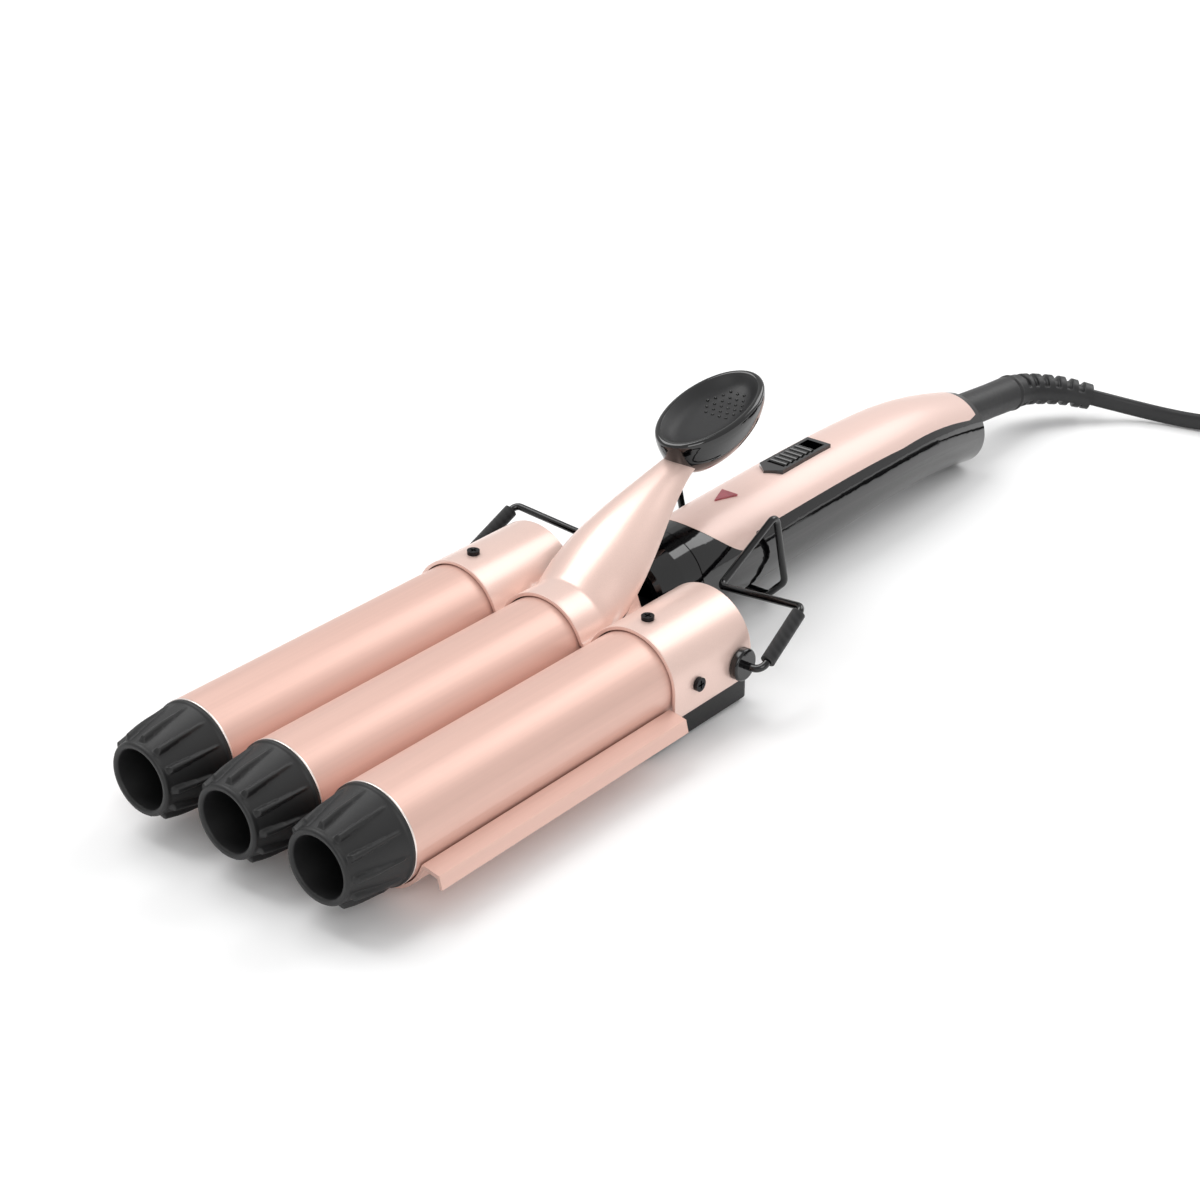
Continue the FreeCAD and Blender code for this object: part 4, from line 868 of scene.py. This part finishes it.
class WAVER_OT_stage(bpy.types.Operator):
    """Lays the pale floor and hangs the soft studio lights"""

    bl_idname = "waver.stage"
    bl_label = "Stage"

    def execute(self, context):
        material, tree, shader = finish("matt studio paper", linear(context.scene.waver_colours.floor),
                                        Roughness=0.8)
        grained(tree, shader, 2.0, 0.01)
        mesh = bpy.data.meshes.new("floor")
        corners = [(x * FLOOR_REACH, y * FLOOR_REACH, FLOOR_Z)
                   for x, y in ((-1, -1), (1, -1), (1, 1), (-1, 1))]
        mesh.from_pydata(corners, [], [(0, 1, 2, 3)])
        mesh.materials.append(material)
        floor = bpy.data.objects.new("floor", mesh)
        context.scene.collection.objects.link(floor)
        world = bpy.data.worlds.new("studio")
        world.use_nodes = True
        world.node_tree.nodes["Background"].inputs["Color"].default_value = (1, 1, 1, 1)
        world.node_tree.nodes["Background"].inputs["Strength"].default_value = WORLD_STRENGTH
        context.scene.world = world
        for name, place, watts, size in LIGHTS:
            data = bpy.data.lights.new(name, "AREA")
            data.energy, data.size = watts, size
            light = bpy.data.objects.new(name, data)
            context.scene.collection.objects.link(light)
            light.location = place
            light.rotation_euler = (Vector((0, 0, 0)) - Vector(place)).to_track_quat("-Z", "Y").to_euler()
        context.scene.view_settings.view_transform = "Standard"
        return {"FINISHED"}


STEPS = (WAVER_OT_camera, WAVER_OT_finishes, WAVER_OT_flex, WAVER_OT_strain_relief, WAVER_OT_plug,
         WAVER_OT_end_caps, WAVER_OT_saddle_cover, WAVER_OT_thumb_rest, WAVER_OT_stage)


class WAVER_PT_panel(bpy.types.Panel):
    """Lists the waver's pieces, sizes and colours"""

    bl_label = "Three-barrel waver"
    bl_idname = "WAVER_PT_panel"
    bl_space_type = "VIEW_3D"
    bl_region_type = "UI"
    bl_category = "Waver"

    def draw(self, context):
        for group in (context.scene.waver_sizes, context.scene.waver_colours):
            for name in type(group).__annotations__:
                self.layout.prop(group, name)
        for step in STEPS:
            self.layout.operator(step.bl_idname)


CLASSES = (WaverColours, WaverSizes, *STEPS, WAVER_PT_panel)


def register():
    for item in CLASSES:
        bpy.utils.register_class(item)
    bpy.types.Scene.waver_colours = bpy.props.PointerProperty(type=WaverColours)
    bpy.types.Scene.waver_sizes = bpy.props.PointerProperty(type=WaverSizes)


def unregister():
    del bpy.types.Scene.waver_sizes
    del bpy.types.Scene.waver_colours
    for item in reversed(CLASSES):
        bpy.utils.unregister_class(item)


def main():
    register()
    for step in STEPS:
        group, name = step.bl_idname.split(".")
        getattr(getattr(bpy.ops, group), name)()


if __name__ == "__main__":
    main()
